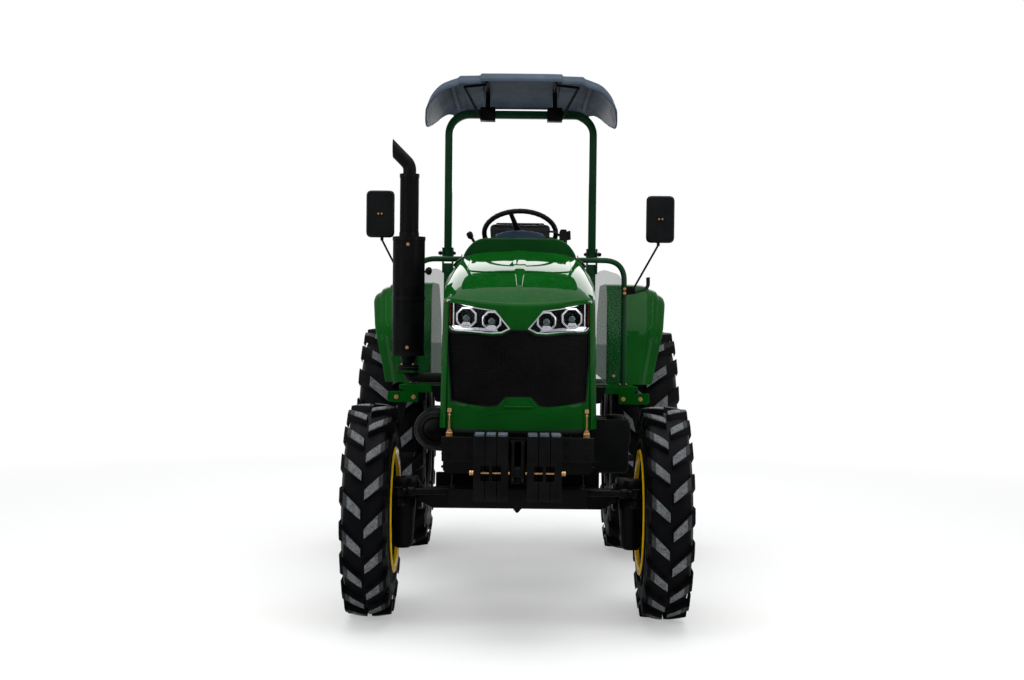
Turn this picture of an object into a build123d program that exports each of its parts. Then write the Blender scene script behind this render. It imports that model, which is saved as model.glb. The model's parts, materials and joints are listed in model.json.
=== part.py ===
from build123d import *
from math import acos, cos, degrees, hypot, radians, sin, tan
import os

# Farm tractor: four driven wheels, steered front axle, folding roll bar with a canopy, rear three-point linkage.
# Millimetres, +Z up from the ground, the tractor faces -Y, +X is on its left-hand side.
# The origin is on the ground, midway between the front weights' faces and the lower links' ends.

# ---------------------------------------------------------------- driving dimensions
wheelbase = 2180
front_overhang = 760  # front axle to the front face of the weights
rear_overhang = 830  # rear axle to the ends of the lower links
overall_length = front_overhang + wheelbase + rear_overhang
front_y = front_overhang - overall_length / 2  # front axle
rear_y = front_y + wheelbase  # rear axle
gap = 0.3  # seat clearance between pieces that rest on each other
running = 0.4  # radial clearance of a shaft in its bearing
skin = 5  # thickness of the body panels

# wheels: overall diameter, section width, rim flange diameter, rim width, lugs on each side
front_tyre = dict(od=1000, width=222, flange=590, rim_width=178, lug=30, lug_width=38, crown_drop=12, lugs=18)
rear_tyre = dict(od=1340, width=400, flange=762, rim_width=340, lug=36, lug_width=52, crown_drop=20, lugs=20)
front_track = 1370
rear_track = 1456
flange_height = 25
rim_wall = 6
front_hub_z = front_tyre["od"] / 2
rear_hub_z = rear_tyre["od"] / 2
front_wheel_x = front_track / 2
rear_wheel_x = rear_track / 2

# front axle and steering
kingpin_x = front_wheel_x - 145
kingpin_r = 30
swivel_top_z = front_hub_z + 60
swivel_bottom_z = front_hub_z - 178
swivel_r = 60
beam_top_z = front_hub_z + 112
beam_bottom_z = front_hub_z + 16
beam_depth = 120
trunnion_r = 60
trunnion_z = front_hub_z + 100
hub_shaft_r = 34
hub_flange_x = front_wheel_x - 23  # inner face of the front wheel's hub flange
steer_arm_reach = 176  # kingpin axis to the rod's eye, forwards
rod_z = front_hub_z + 106
rod_r = 14
cylinder_r = 31
cylinder_half = 310
rod_eye_x = kingpin_x + 10

# front support and weights
bumper_half = 329
bumper_y = front_y - 650
bumper_top_z = 898
bumper_bottom_z = 792
bumper_depth = 25
rail_x = 185
weight_pitch = 50
weight_inner_x = 39
weight_top_z = 917
weight_bottom_z = 632

# power train
engine_front_y = front_y + 150
engine_rear_y = front_y + 690
engine_half = 185
engine_sump_z = 640
case_rear_y = rear_y + 160

# platform, fenders, handrails
platform_z = 1046
platform_half = 636
platform_y = front_y + 985  # front face of the front beam
floor_half = 499.5  # floor width between the fenders
beam_height = 43
fender_inner_x = 500
fender_z = 1604
# fender tiers: outer x, step down from the crown
fender_tiers = [(747, 0), (792, 26), (838, 64)]
handrail_x = 560
handrail_r = 15
handrail_z = 1718
handrail_y = front_y + 1020

# hood and cowl
hood_front_y = front_y - 556  # middle of the front face
hood_corner_y = front_y - 438
hood_corner_x = 318
hood_side_y = front_y - 372
hood_side_x = 352
hood_rear_y = front_y + 866
hood_bottom_z = 920
hood_hinge_y = front_y + 838
hood_hinge_z = 1718
hinge_pin_r = 6
cowl_front_y = front_y + 890
cowl_rear_y = front_y + 1130
cowl_half = 307
cowl_top_z = 1827
hood_sections = [
    # behind the front axle, top, half width at the shoulder, half width at the bottom edge, the shoulder's drop
    (-575, 1464, 332, 346, 40),
    (-330, 1556, 342, 352, 66),
    (120, 1656, 354, 358, 100),
    (866, 1752, 357, 364, 122),
]
hood_panel_half = 250  # raised centre panel
hood_panel_rise = 4

# roll bar and canopy
rops_y = rear_y + 60
rops_half = 440  # post centre from the middle
rops_tube = 46
rops_depth = 60
canopy_top_z = 2800
rops_top_z = canopy_top_z - 160  # crossbar centre
rops_corner = 125
rops_pivot_z = 1792
rops_pin_r = 10
canopy_y = front_y + 1520  # front edge
canopy_length = 1290
canopy_wall = 6
canopy_block_x = 204

# exhaust, tank, air cleaner
muffler_x = -575
muffler_y = front_y + 750
muffler_r = 83
muffler_bottom_z = 1204
muffler_top_z = 1822
outlet_r = 49
outlet_top_z = 2147
tip_r = 28
elbow_z = 1092
elbow_r = 26
tank_bottom_z = 622
tank_top_z = 892
air_cleaner_x = -425
air_cleaner_z = 836
air_cleaner_r = 106

# steering column
column_tilt = 35
wheel_r = 198
wheel_centre = (0, front_y + 1310, 1872)
column_r = 34

# rear linkage, as (y, z)
lower_pivot = (rear_y + 90, 520)
lower_end = (rear_y + rear_overhang - 30, 470)
rock_axis = (rear_y + 60, 1040)
arm_end = (rear_y + 340, 1075)
rod_foot = (rear_y + 480, 497)
link_bore_r = 11.2
rock_r = 30
pto_r = 17.5


# ---------------------------------------------------------------- helpers
def block(x0, x1, y0, y1, z0, z1):
    return Pos((x0 + x1) / 2, (y0 + y1) / 2, (z0 + z1) / 2) * Box(abs(x1 - x0), abs(y1 - y0), abs(z1 - z0))


def x_cylinder(radius, x0, x1, y, z):
    return Pos((x0 + x1) / 2, y, z) * Rot(0, 90, 0) * Cylinder(radius, abs(x1 - x0))


def y_cylinder(radius, y0, y1, x, z):
    return Pos(x, (y0 + y1) / 2, z) * Rot(90, 0, 0) * Cylinder(radius, abs(y1 - y0))


def z_cylinder(radius, z0, z1, x, y):
    return Pos(x, y, (z0 + z1) / 2) * Cylinder(radius, abs(z1 - z0))


def mirrored(shape):
    return shape.mirror(Plane.YZ)


def both(shape):
    """The shape and its mirror image across the middle plane, as separate solids."""
    return [shape, mirrored(shape)]


def outline(points, place):
    """A closed face of lines and arcs; a point's third value is its corner radius."""
    count = len(points)
    starts, middles, ends = [], [], []
    for i, point in enumerate(points):
        x, y = point[0], point[1]
        radius = point[2] if len(point) > 2 else 0
        before, after = points[i - 1], points[(i + 1) % count]
        if not radius:
            starts.append((x, y))
            middles.append(None)
            ends.append((x, y))
            continue
        ax, ay = before[0] - x, before[1] - y
        bx, by = after[0] - x, after[1] - y
        la, lb = hypot(ax, ay), hypot(bx, by)
        ax, ay, bx, by = ax / la, ay / la, bx / lb, by / lb
        half = acos(max(-1, min(1, ax * bx + ay * by))) / 2
        reach = radius / tan(half)
        mx, my = ax + bx, ay + by
        lm = hypot(mx, my)
        deep = radius / sin(half) - radius
        starts.append((x + ax * reach, y + ay * reach))
        middles.append((x + mx / lm * deep, y + my / lm * deep))
        ends.append((x + bx * reach, y + by * reach))
    edges = []
    for i in range(count):
        if middles[i]:
            edges.append(ThreePointArc(place(*starts[i]), place(*middles[i]), place(*ends[i])))
        follow = starts[(i + 1) % count]
        if hypot(follow[0] - ends[i][0], follow[1] - ends[i][1]) > 1e-4:
            edges.append(Line(place(*ends[i]), place(*follow)))
    return make_face(Wire([e for edge in edges for e in edge.edges()]))


def side_plate(points, x0, x1):
    """A plate with its outline in the YZ plane, from x0 to x1."""
    return extrude(outline(points, lambda a, b: (x0, a, b)), x1 - x0, dir=(1, 0, 0))


def front_plate(points, y0, y1, inset=0):
    """A plate with its outline in the XZ plane, from y0 to y1, drawn in by the inset."""
    face = outline(points, lambda a, b: (a, b, 0))
    if inset:
        face = offset(face, -inset, kind=Kind.INTERSECTION)
    return Rot(90, 0, 0) * Pos(0, 0, -y1) * extrude(face, y1 - y0, dir=(0, 0, 1))


def top_plate(points, z0, z1):
    """A plate with its outline in the XY plane, from z0 to z1."""
    return extrude(outline(points, lambda a, b: (a, b, z0)), z1 - z0, dir=(0, 0, 1))


def symmetric(points):
    """A closed outline from its right-hand half, given from the bottom up to the middle."""
    left = [(-p[0], *p[1:]) for p in reversed(points) if p[0] > 1e-6]
    return list(points) + left


def rod_between(a, b, radius):
    """A round bar from point a to point b."""
    a, b = Vector(a), Vector(b)
    plane = Plane(origin=a, z_dir=(b - a))
    return extrude(plane * Circle(radius), (b - a).length)


def bent_tube(points, radii, radius):
    """A round bar along a path with rounded corners."""
    path = FilletPolyline(*points, radius=radii)
    start = Plane(origin=path @ 0, z_dir=path % 0)
    return sweep(start * Circle(radius), path=path)


def spun(points, y=0, z=0):
    """A solid of revolution about the X direction from (x, radius) points."""
    face = make_face(Polyline(*[(x, 0, r) for x, r in points], close=True))
    return Pos(0, y, z) * revolve(face, Axis.X)


def turned(points, x, y):
    """A solid of revolution about a vertical axis from (radius, z) points."""
    face = make_face(Polyline(*[(r, 0, z) for r, z in points], close=True))
    return Pos(x, y, 0) * revolve(face, Axis.Z)


# ---------------------------------------------------------------- wheels
def tyre(size):
    """A ring tyre with two staggered rows of bar lugs, set so that a lug's corner is the lowest point."""
    half = size["width"] / 2
    tip_r = size["od"] / 2
    crown_r = tip_r - size["lug"]
    seat_r = size["flange"] / 2 - flange_height + gap
    bead_x = size["rim_width"] / 2 - 12
    wall = crown_r - seat_r
    profile = [
        (bead_x, seat_r),
        (bead_x + 2, size["flange"] / 2 + 4),
        (half * 0.93, seat_r + wall * 0.28),
        (half, seat_r + wall * 0.50),
        (half * 0.93, crown_r - wall * 0.17),
        (half * 0.66, crown_r - size["crown_drop"] * 0.6),
        (0, crown_r),
    ]
    other_side = [(-x, r) for x, r in reversed(profile[:-1])]
    carcass = spun(profile + other_side)
    pitch = 360 / size["lugs"]
    lowest = -90 + degrees(size["lug_width"] / 2 / tip_r)
    left_row = [lug(size, wall, lowest + i * pitch, 1) for i in range(size["lugs"])]
    right_row = [lug(size, wall, lowest + (i + 0.5) * pitch, -1) for i in range(size["lugs"])]
    return carcass.fuse(*left_row, *right_row)


def lug(size, wall, angle, side):
    """One bar lug: sections across the tread, each a little further round, the last down on the sidewall."""
    half = size["width"] / 2
    tip_r = size["od"] / 2
    crown_r = tip_r - size["lug"]
    stations = [
        # across, further round, top radius, foot radius
        (-0.06 * half, 0, tip_r, crown_r - 12),
        (0.45 * half, 0.50 * half, tip_r - size["crown_drop"] * 0.3, crown_r - 20),
        (0.86 * half, 0.78 * half, tip_r - size["crown_drop"] * 1.3, crown_r - wall * 0.3),
        (0.99 * half, 0.84 * half, tip_r - size["lug"] * 1.6, crown_r - wall * 0.46),
    ]
    sections = []
    for across, round_by, top, foot in stations:
        corners = []
        for radius, edge in ((foot, -1.3), (top, -1), (top, 1), (foot, 1.3)):
            turn = radians(angle) + (round_by + edge * size["lug_width"] / 2) / tip_r
            corners.append((side * across, -radius * cos(turn), radius * sin(turn)))
        sections.append(make_face(Polyline(*corners, close=True)))
    return loft(sections, ruled=True)


def rim(size, disc_x, hub_r, hub_points, bolt_ring):
    """A drop-centre rim with its dished disc and hub; disc_x is the disc's place from the rim's middle."""
    half = size["rim_width"] / 2
    flange_r = size["flange"] / 2
    seat_r = flange_r - flange_height
    well_r = seat_r - 32
    well = half * 0.45
    outer = [
        (-half, flange_r),
        (-half + 6, flange_r),
        (-half + 11, seat_r),
        (-well - 18, seat_r),
        (-well, well_r),
        (well, well_r),
        (well + 18, seat_r),
        (half - 11, seat_r),
        (half - 6, flange_r),
        (half, flange_r),
    ]
    inner = [
        (half, seat_r - rim_wall),
        (well + 20, seat_r - rim_wall),
        (well + 2, well_r - rim_wall),
        (-well - 2, well_r - rim_wall),
        (-well - 20, seat_r - rim_wall),
        (-half, seat_r - rim_wall),
    ]
    disc_r = well_r - rim_wall + 2
    disc = [
        (disc_x, hub_r - 5),
        (disc_x, hub_r + 40),
        (disc_x + 30, disc_r - 40),
        (disc_x + 30, disc_r),
        (disc_x + 40, disc_r),
        (disc_x + 40, disc_r - 44),
        (disc_x + 10, hub_r + 44),
        (disc_x + 10, hub_r - 5),
    ]
    bolts = []
    for turn in range(0, 360, 60):
        y, z = bolt_ring * cos(radians(turn)), bolt_ring * sin(radians(turn))
        bolts.append(x_cylinder(11, disc_x + 4, disc_x + 26, y, z))
    return spun(outer + inner).fuse(spun(disc), spun(hub_points), *bolts)


def wheel_nodes():
    front_hub = [
        (-72, 0),
        (-72, hub_shaft_r),
        (-23, hub_shaft_r),
        (-23, 80),
        (-7, 80),
        (-7, 52),
        (30, 52),
        (42, 40),
        (42, 0),
    ]
    rear_hub = [
        (-205, 0),
        (-205, 42),
        (-90, 42),
        (-90, 110),
        (-74, 110),
        (-74, 66),
        (-30, 66),
        (-16, 50),
        (-16, 0),
    ]
    kinds = [
        # name, tyre, hub x, axle y, hub z, disc x, disc hole, hub outline, bolt circle radius
        ("front", front_tyre, front_wheel_x, front_y, front_hub_z, -7, 60, front_hub, 66),
        ("rear", rear_tyre, rear_wheel_x, rear_y, rear_hub_z, -74, 80, rear_hub, 92),
    ]
    nodes = {}
    for name, size, x, y, z, disc_x, hub_r, hub_points, bolt_ring in kinds:
        tyre_left = Pos(x, y, z) * tyre(size)
        rim_left = Pos(x, y, z) * rim(size, disc_x, hub_r, hub_points, bolt_ring)
        nodes[f"tyre_{name}_left"] = tyre_left
        nodes[f"tyre_{name}_right"] = mirrored(tyre_left)
        nodes[f"wheel_{name}_left"] = rim_left
        nodes[f"wheel_{name}_right"] = mirrored(rim_left)
    return nodes


# ---------------------------------------------------------------- front axle and steering
def front_axle_beam():
    """The driven front axle's housing, its end flanges and upper swivel seats, and the pivot trunnion."""
    half_profile = [
        (0, beam_bottom_z),
        (395, beam_bottom_z, 20),
        (455, beam_bottom_z + 32),
        (455, beam_top_z - 10),
        (300, beam_top_z, 30),
        (120, beam_top_z + 22, 30),
        (0, beam_top_z + 22),
    ]
    beam = front_plate(symmetric(half_profile), front_y - beam_depth / 2, front_y + beam_depth / 2)
    parts = [y_cylinder(trunnion_r, front_y - 94.5, front_y + 94.5, 0, trunnion_z)]
    parts.append(Pos(0, front_y, beam_bottom_z - 11) * Cone(4, 30, 32))
    for side in (-1, 1):
        parts.append(x_cylinder(64, side * 448, side * 466, front_y, 570))
        parts.append(x_cylinder(60, side * 466, side * kingpin_x, front_y, 602))
        head = [
            (0, swivel_top_z + 3),
            (swivel_r + 4, swivel_top_z + 3),
            (swivel_r + 8, swivel_top_z + 16),
            (swivel_r + 8, 632),
            (52, 654),
            (0, 654),
        ]
        parts.append(turned(head, side * kingpin_x, front_y))
    beam = beam.fuse(steering_cylinder(), *parts)
    rod_y = front_y - steer_arm_reach
    beam -= x_cylinder(rod_r + running, -cylinder_half - 5, cylinder_half + 5, rod_y, rod_z)
    for side in (-1, 1):
        beam -= z_cylinder(kingpin_r + running, swivel_top_z - 10, 636, side * kingpin_x, front_y)
        beam -= z_cylinder(swivel_r + 16, swivel_top_z - 60, swivel_top_z + 2, side * kingpin_x, front_y)
    return beam


def knuckle():
    """The left-hand swivel case with its kingpin, wheel bearing and steering arm."""
    profile = [
        (0, swivel_bottom_z),
        (34, swivel_bottom_z),
        (48, swivel_bottom_z + 16),
        (swivel_r - 6, 420),
        (swivel_r, 520),
        (swivel_r, swivel_top_z),
        (kingpin_r, swivel_top_z),
        (kingpin_r, 632),
        (0, 632),
    ]
    bearing_x = hub_flange_x - 12
    arm_y = front_y - steer_arm_reach
    arm_outline = [
        (kingpin_x - 30, front_y + 10),
        (kingpin_x + 44, front_y + 10),
        (rod_eye_x + 22, arm_y, 18),
        (rod_eye_x - 22, arm_y, 18),
    ]
    case = turned(profile, kingpin_x, front_y).fuse(
        x_cylinder(55, kingpin_x, bearing_x, front_y, front_hub_z),
        x_cylinder(86, bearing_x - 24, bearing_x, front_y, front_hub_z),
        top_plate(arm_outline, swivel_top_z - 24, swivel_top_z),
        z_cylinder(22, swivel_top_z - 24, rod_z - 28, rod_eye_x, arm_y + 10),
    )
    return case - x_cylinder(hub_shaft_r + running, front_wheel_x - 78, hub_flange_x, front_y, front_hub_z)


def steering_cylinder():
    """The double-ended cylinder's barrel with its end caps and the brackets that meet the axle beam."""
    y = front_y - steer_arm_reach
    parts = []
    for side in (-1, 1):
        parts.append(x_cylinder(cylinder_r + 7, side * (cylinder_half - 34), side * cylinder_half, y, rod_z))
        parts.append(block(side * 205, side * 245, y, front_y - beam_depth / 2 + 10, rod_z - 24, rod_z - 2))
        parts.append(block(side * 205, side * 245, y - 44, y, rod_z - 20, rod_z - 4))
    parts.append(block(-322, 322, y - 48, y - 40, beam_bottom_z + 24, rod_z + 20))
    return x_cylinder(cylinder_r, -cylinder_half, cylinder_half, y, rod_z).fuse(*parts)


def steering_rods():
    y = front_y - steer_arm_reach
    rods = x_cylinder(rod_r, -rod_eye_x, rod_eye_x, y, rod_z)
    for side in (-1, 1):
        rods += z_cylinder(23, rod_z - 22, rod_z + 20, side * rod_eye_x, y)
        rods += x_cylinder(20, side * (rod_eye_x - 76), side * (rod_eye_x - 40), y, rod_z)
    return rods


# ---------------------------------------------------------------- front support and weights
def front_frame():
    """The cast front support: cross plate for the weights, two rails to the engine, the axle's pivot lugs."""
    parts = []
    rail_front = bumper_y + 60
    for side in (-1, 1):
        inner, outer = side * (rail_x - 15), side * (rail_x + 15)
        parts.append(block(inner, outer, rail_front, engine_front_y - gap, 745, 880))
        parts.append(block(side * 300, side * bumper_half, bumper_y, bumper_y + 190, 800, 870))
        parts.append(block(outer, side * 302, bumper_y + 150, bumper_y + 190, 810, 860))
        wing = [(rail_x + 10, 690), (330, 690, 10), (345, 705, 8), (345, 800, 10), (rail_x + 10, 800)]
        wing = [(side * p[0], *p[1:]) for p in wing]
        parts.append(front_plate(wing, front_y - 175, front_y + 120))
    for y in (front_y - 125, front_y + 95):
        hanger = [
            (0, trunnion_z - 55),
            (50, trunnion_z - 55, 20),
            (78, trunnion_z, 20),
            (110, 760),
            (rail_x, 760),
            (rail_x, 800),
            (0, 800),
        ]
        parts.append(front_plate(symmetric(hanger), y, y + 30))
    parts.append(block(-rail_x, rail_x, bumper_y + 60, bumper_y + 100, 780, 860))
    parts.append(block(-rail_x, rail_x, front_y - 345, front_y - 225, 866, 880))
    plate = block(-bumper_half, bumper_half, bumper_y, bumper_y + bumper_depth, bumper_bottom_z, bumper_top_z)
    return plate.fuse(tow_bracket(), *parts)


def front_weights():
    """Six slab weights in two stacks of three, hooked over the cross plate, each with a grab window."""
    face_y = front_y - front_overhang
    hook_y = bumper_y + bumper_depth
    profile = [
        (face_y, weight_bottom_z + 20, 14),
        (face_y + 16, weight_bottom_z),
        (bumper_y + 30, weight_bottom_z, 12),
        (bumper_y + 42, 780, 10),
        (bumper_y - gap, 780),
        (bumper_y - gap, bumper_top_z + gap),
        (hook_y + gap, bumper_top_z + gap),
        (hook_y + gap, 866),
        (hook_y + 20, 866),
        (hook_y + 20, weight_top_z, 10),
        (face_y, weight_top_z, 12),
    ]
    slabs = []
    for i in range(3):
        x = weight_inner_x + i * weight_pitch
        slab = side_plate(profile, x + 0.8, x + weight_pitch - 0.8)
        for joint in (1, 2):
            middle = weight_inner_x + joint * weight_pitch
            slab -= block(middle - 18, middle + 18, face_y - 5, face_y + 48, 720, 784)
        slabs += both(slab)
    return slabs


def tow_bracket():
    """Two lugs on the cross plate with a thick towing roller between them."""
    parts = [x_cylinder(23, -30, 30, bumper_y - 62, 757)]
    for side in (-1, 1):
        lug_outline = [
            (bumper_y + 4, 880),
            (bumper_y - 40, 880, 10),
            (bumper_y - 88, 780, 16),
            (bumper_y - 88, 732, 16),
            (bumper_y + 4, 700),
        ]
        parts.append(side_plate(lug_outline, side * 22 - 8, side * 22 + 8))
    return block(-34, 34, bumper_y - 14, bumper_y + 5, 700, 884).fuse(*parts)


# ---------------------------------------------------------------- power train
def engine():
    """The engine as one stepped block of its real size and place."""
    levels = [
        # half width, front, rear, bottom, top
        (150, engine_front_y, engine_rear_y, engine_sump_z, 860),
        (engine_half, engine_front_y, engine_rear_y, 860, 1190),
        (150, engine_front_y + 20, engine_rear_y - 20, 1190, 1330),
        (95, engine_front_y + 40, engine_rear_y - 40, 1330, 1390),
    ]
    blocks = [block(-w, w, y0, y1, z0, z1) for w, y0, y1, z0, z1 in levels]
    return blocks[0].fuse(*blocks[1:])


def radiator():
    return block(-260, 260, front_y - 335, front_y - 235, 880 + gap, 1400)


def transmission():
    """Clutch housing, gearbox, rear case, lift cover, power take-off, drive shaft tube, tank tray."""
    y0 = engine_rear_y + gap
    case = block(-190, 190, y0, y0 + 240, 560, 1020).fuse(
        block(-150, 150, y0 + 240, rear_y - 170, 560, 1000),
        block(-170, 170, rear_y - 170, case_rear_y, 470, 1000),
        block(-90, 90, case_rear_y, case_rear_y + 34, 500, 620),
        block(-30, 30, case_rear_y, case_rear_y + 44, 830, 940),
        block(-150, 150, rear_y - 120, rear_y + 130, 990, 1084),
        y_cylinder(pto_r, case_rear_y + 20, case_rear_y + 124, 0, 560),
        y_cylinder(25, front_y + 125 + gap, y0 + 5, 0, 600),
        block(180, 560, front_y + 705, front_y + 915, tank_bottom_z - 12, tank_bottom_z - gap),
        block(180, 204, front_y + 705, front_y + 915, tank_bottom_z - 40, tank_bottom_z - 2),
    )
    return case - x_cylinder(rock_r + running, -200, 200, *rock_axis)


def rear_axle():
    """The two axle trumpets, each with a brake drum flange, an outer bearing and the roll bar's seat."""
    end = rear_wheel_x - 144
    trumpet = spun(
        [
            (170 + gap, 0),
            (170 + gap, 130),
            (192, 130),
            (204, 106),
            (end - 32, 80),
            (end - 32, 98),
            (end, 98),
            (end, 42 + running),
            (end - 67, 42 + running),
            (end - 67, 0),
        ],
        rear_y,
        rear_hub_z,
    )
    seat = block(rops_half - 34, rops_half + 34, rear_y - 60, rops_y + 45, rear_hub_z + 20, rear_hub_z + 118)
    ear = block(200, 222, rear_y, lower_pivot[0] + 26, lower_pivot[1] - 26, rear_hub_z)
    pin = x_cylinder(11, 210, 262, *lower_pivot)
    return both(trumpet.fuse(seat, ear, pin))


def drawbar():
    bar = block(-35, 35, rear_y - 100, rear_y + 430, 402, 427)
    bar += block(-80, 80, rear_y + 20, rear_y + 130, 427, 470 - gap)
    return bar - z_cylinder(13, 390, 440, 0, rear_y + 390)


# ---------------------------------------------------------------- exhaust, air cleaner, tank
def silencer():
    """The upright silencer, its narrower outlet guard and the curved tip cut on a slant."""
    body = turned(
        [
            (0, 1132),
            (56, 1132),
            (56, 1148),
            (30, 1148),
            (38, muffler_bottom_z),
            (muffler_r, muffler_bottom_z),
            (muffler_r, muffler_top_z),
            (outlet_r, muffler_top_z),
            (outlet_r, outlet_top_z),
            (0, outlet_top_z),
        ],
        muffler_x,
        muffler_y,
    )
    tip = bent_tube(
        [
            (muffler_x, muffler_y, outlet_top_z - 10),
            (muffler_x, muffler_y, outlet_top_z + 52),
            (muffler_x - 130, muffler_y, outlet_top_z + 177),
        ],
        80,
        tip_r,
    )
    mouth = block(muffler_x - 260, muffler_x - 88, muffler_y - 60, muffler_y + 60, outlet_top_z, outlet_top_z + 300)
    return body + (tip - mouth)


def exhaust():
    """The silencer on the bent pipe from the engine's side, with its clamp flange."""
    side_y = muffler_y - 160
    pipe = bent_tube(
        [
            (muffler_x, muffler_y, 1140),
            (muffler_x, muffler_y, elbow_z),
            (-330, muffler_y, elbow_z),
            (-330, side_y, elbow_z),
            (-engine_half - gap, side_y, elbow_z),
        ],
        34,
        elbow_r,
    )
    x1 = -engine_half - gap
    flange = block(x1 - 14, x1, side_y - 42, side_y + 42, elbow_z - 34, elbow_z + 34)
    return silencer().fuse(pipe, z_cylinder(56, 1116, 1133, muffler_x, muffler_y), flange)


def air_cleaner():
    """A lying canister with a domed front cover, on a bracket from the engine."""
    y0 = front_y + 545
    r = air_cleaner_r
    profile = [(0, 0), (16, 0), (r - 56, 14), (r - 22, 34), (r, 66), (r, 330), (r - 12, 344), (0, 344)]
    face = make_face(Polyline(*[(a, b, 0) for a, b in profile], close=True))
    can = Pos(air_cleaner_x, y0, air_cleaner_z) * revolve(face, Axis.Y)
    arm_z = engine_sump_z + 240
    return can.fuse(block(air_cleaner_x + 60, -engine_half - gap, y0 + 60, y0 + 100, arm_z, arm_z + 50))


def fuel_tank():
    """A rounded box tank with a lid line, standing on a tray bolted to the clutch housing."""
    y0 = front_y + 640
    profile = [
        (378, tank_bottom_z, 24),
        (568, tank_bottom_z, 24),
        (568, tank_top_z - 128),
        (576, tank_top_z - 122),
        (576, tank_top_z - 30, 12),
        (560, tank_top_z, 16),
        (388, tank_top_z, 16),
        (370, tank_top_z - 30, 12),
        (370, tank_top_z - 122),
        (378, tank_top_z - 128),
    ]
    tank = front_plate(profile, y0, y0 + 330)
    return tank + z_cylinder(38, tank_top_z - 5, tank_top_z + 22, 500, y0 + 60)


# ---------------------------------------------------------------- hood
def hood_plan(inset):
    """The hood seen from above: a bowed front, cut-back corners and nearly straight sides."""
    front = ThreePointArc(
        (-hood_corner_x + inset, hood_corner_y + inset, 0),
        (0, hood_front_y + inset, 0),
        (hood_corner_x - inset, hood_corner_y + inset, 0),
    )
    rest = Polyline(
        (hood_corner_x - inset, hood_corner_y + inset, 0),
        (hood_side_x - inset, hood_side_y, 0),
        (hood_side_x + 30, hood_side_y + 80, 0),
        (hood_side_x + 30, hood_rear_y + 60, 0),
        (-hood_side_x - 30, hood_rear_y + 60, 0),
        (-hood_side_x - 30, hood_side_y + 80, 0),
        (-hood_side_x + inset, hood_side_y, 0),
        (-hood_corner_x + inset, hood_corner_y + inset, 0),
    )
    face = make_face(Wire([*front.edges(), *rest.edges()]))
    return extrude(Pos(0, 0, 800) * face, 1100, dir=(0, 0, 1))


def hood_body(inset, extra):
    """The hood's solid body by sections; inset makes the inside, extra runs it past its rear and bottom."""
    sections = []
    for along, top, shoulder, bottom, drop in hood_sections:
        y = front_y + along + (extra if along > 800 else 0)
        w, b, t = shoulder - inset, bottom - inset, top - inset
        half_profile = [
            (0, hood_bottom_z - 3 * extra),
            (b, hood_bottom_z - 3 * extra),
            (w, t - drop),
            (w - 9, t - 0.68 * drop),
            (w - 54, t - 0.33 * drop),
            (w - 150, t - 0.09 * drop),
            (0, t),
        ]
        points = symmetric(half_profile)
        sections.append(make_face(Polyline(*[(x, y, z) for x, z in points], close=True)))
    return loft(sections, ruled=True) & hood_plan(inset)


def hood_centre_panel():
    """The outline of the raised centre panel as an upright block, with rounded front corners."""
    plan = symmetric_plan(
        [
            (hood_panel_half, hood_rear_y),
            (hood_panel_half, front_y + 60, 70),
            (60, front_y + 20, 40),
        ]
    )
    return top_plate(plan, 1500, 1900)


def symmetric_plan(points):
    """A closed plan outline from its left half, given from the rear forwards."""
    right = [(-p[0], *p[1:]) for p in reversed(points)]
    return points + right


lamp_outline = [
    # the left-hand lamp cluster in the front view: x, z, corner radius
    (38, 1365),
    (76, 1346, 4),
    (118, 1343, 10),
    (296, 1356, 14),
    (326, 1382),
    (324, 1496, 6),
    (210, 1462, 120),
    (104, 1446, 12),
]
grille_half = [
    (0, 1066),
    (54, 1066, 8),
    (92, 1026, 12),
    (130, 1022, 60),
    (302, 1041, 6),
    (325, 1372),
    (297, 1350, 14),
    (118, 1337, 10),
    (75, 1340, 4),
    (37, 1361),
    (0, 1361),
]


def hood():
    """The hood's skin with its openings, chin panel, raised centre panel and hinge ears."""
    shell = hood_body(0, 0) - hood_body(skin, 40)
    panel = Pos(0, 0, hood_panel_rise) * hood_body(0, 0) & hood_centre_panel()
    shell = shell.fuse(panel - hood_body(skin, 40) - Pos(0, 0, -hood_panel_rise) * hood_body(0, 0))
    side_cut = [
        (front_y - 190, hood_bottom_z - 60),
        (front_y - 60, 1010, 60),
        (front_y + 250, 1130, 120),
        (hood_rear_y + 40, 1170),
        (hood_rear_y + 40, hood_bottom_z - 60),
    ]
    shell -= side_plate(side_cut, -420, 420)
    front_y0, front_y1 = hood_front_y - 20, hood_corner_y + 90
    shell -= front_plate(symmetric(grille_half), front_y0, front_y1)
    for side in (1, -1):
        lamp = [(side * p[0], *p[1:]) for p in lamp_outline]
        shell -= front_plate(lamp, front_y0, front_y1)
    chin = symmetric([(0, 944), (284, 944, 8), (288, 1000, 8), (0, 988)])
    shell -= front_plate(chin, front_y0, front_y1) & (hood_body(-3, 3) - hood_body(2, 0))
    ears = []
    for side in (-1, 1):
        y0, y1 = hood_hinge_y - 14, hood_hinge_y + 12
        ears.append(block(side * 108, side * 114, y0, y1, hood_hinge_z - 12, hood_hinge_z + 26))
    shell = shell.fuse(*ears)
    return shell - x_cylinder(hinge_pin_r + running, -130, 130, hood_hinge_y, hood_hinge_z)


def grille():
    """The fine mesh insert, bowed like the hood's front."""
    mesh = front_plate(symmetric(grille_half), hood_front_y - 20, hood_corner_y + 90, 0.4)
    return mesh & (hood_plan(1.5) - hood_plan(7))


def headlamps():
    """Two lamp clusters that fill their openings, their faces a little below the hood's surface."""
    cluster = front_plate(lamp_outline, hood_front_y - 20, hood_corner_y + 60, 0.6)
    return both(cluster & (hood_body(3, 0) - hood_plan(46)))


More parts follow.
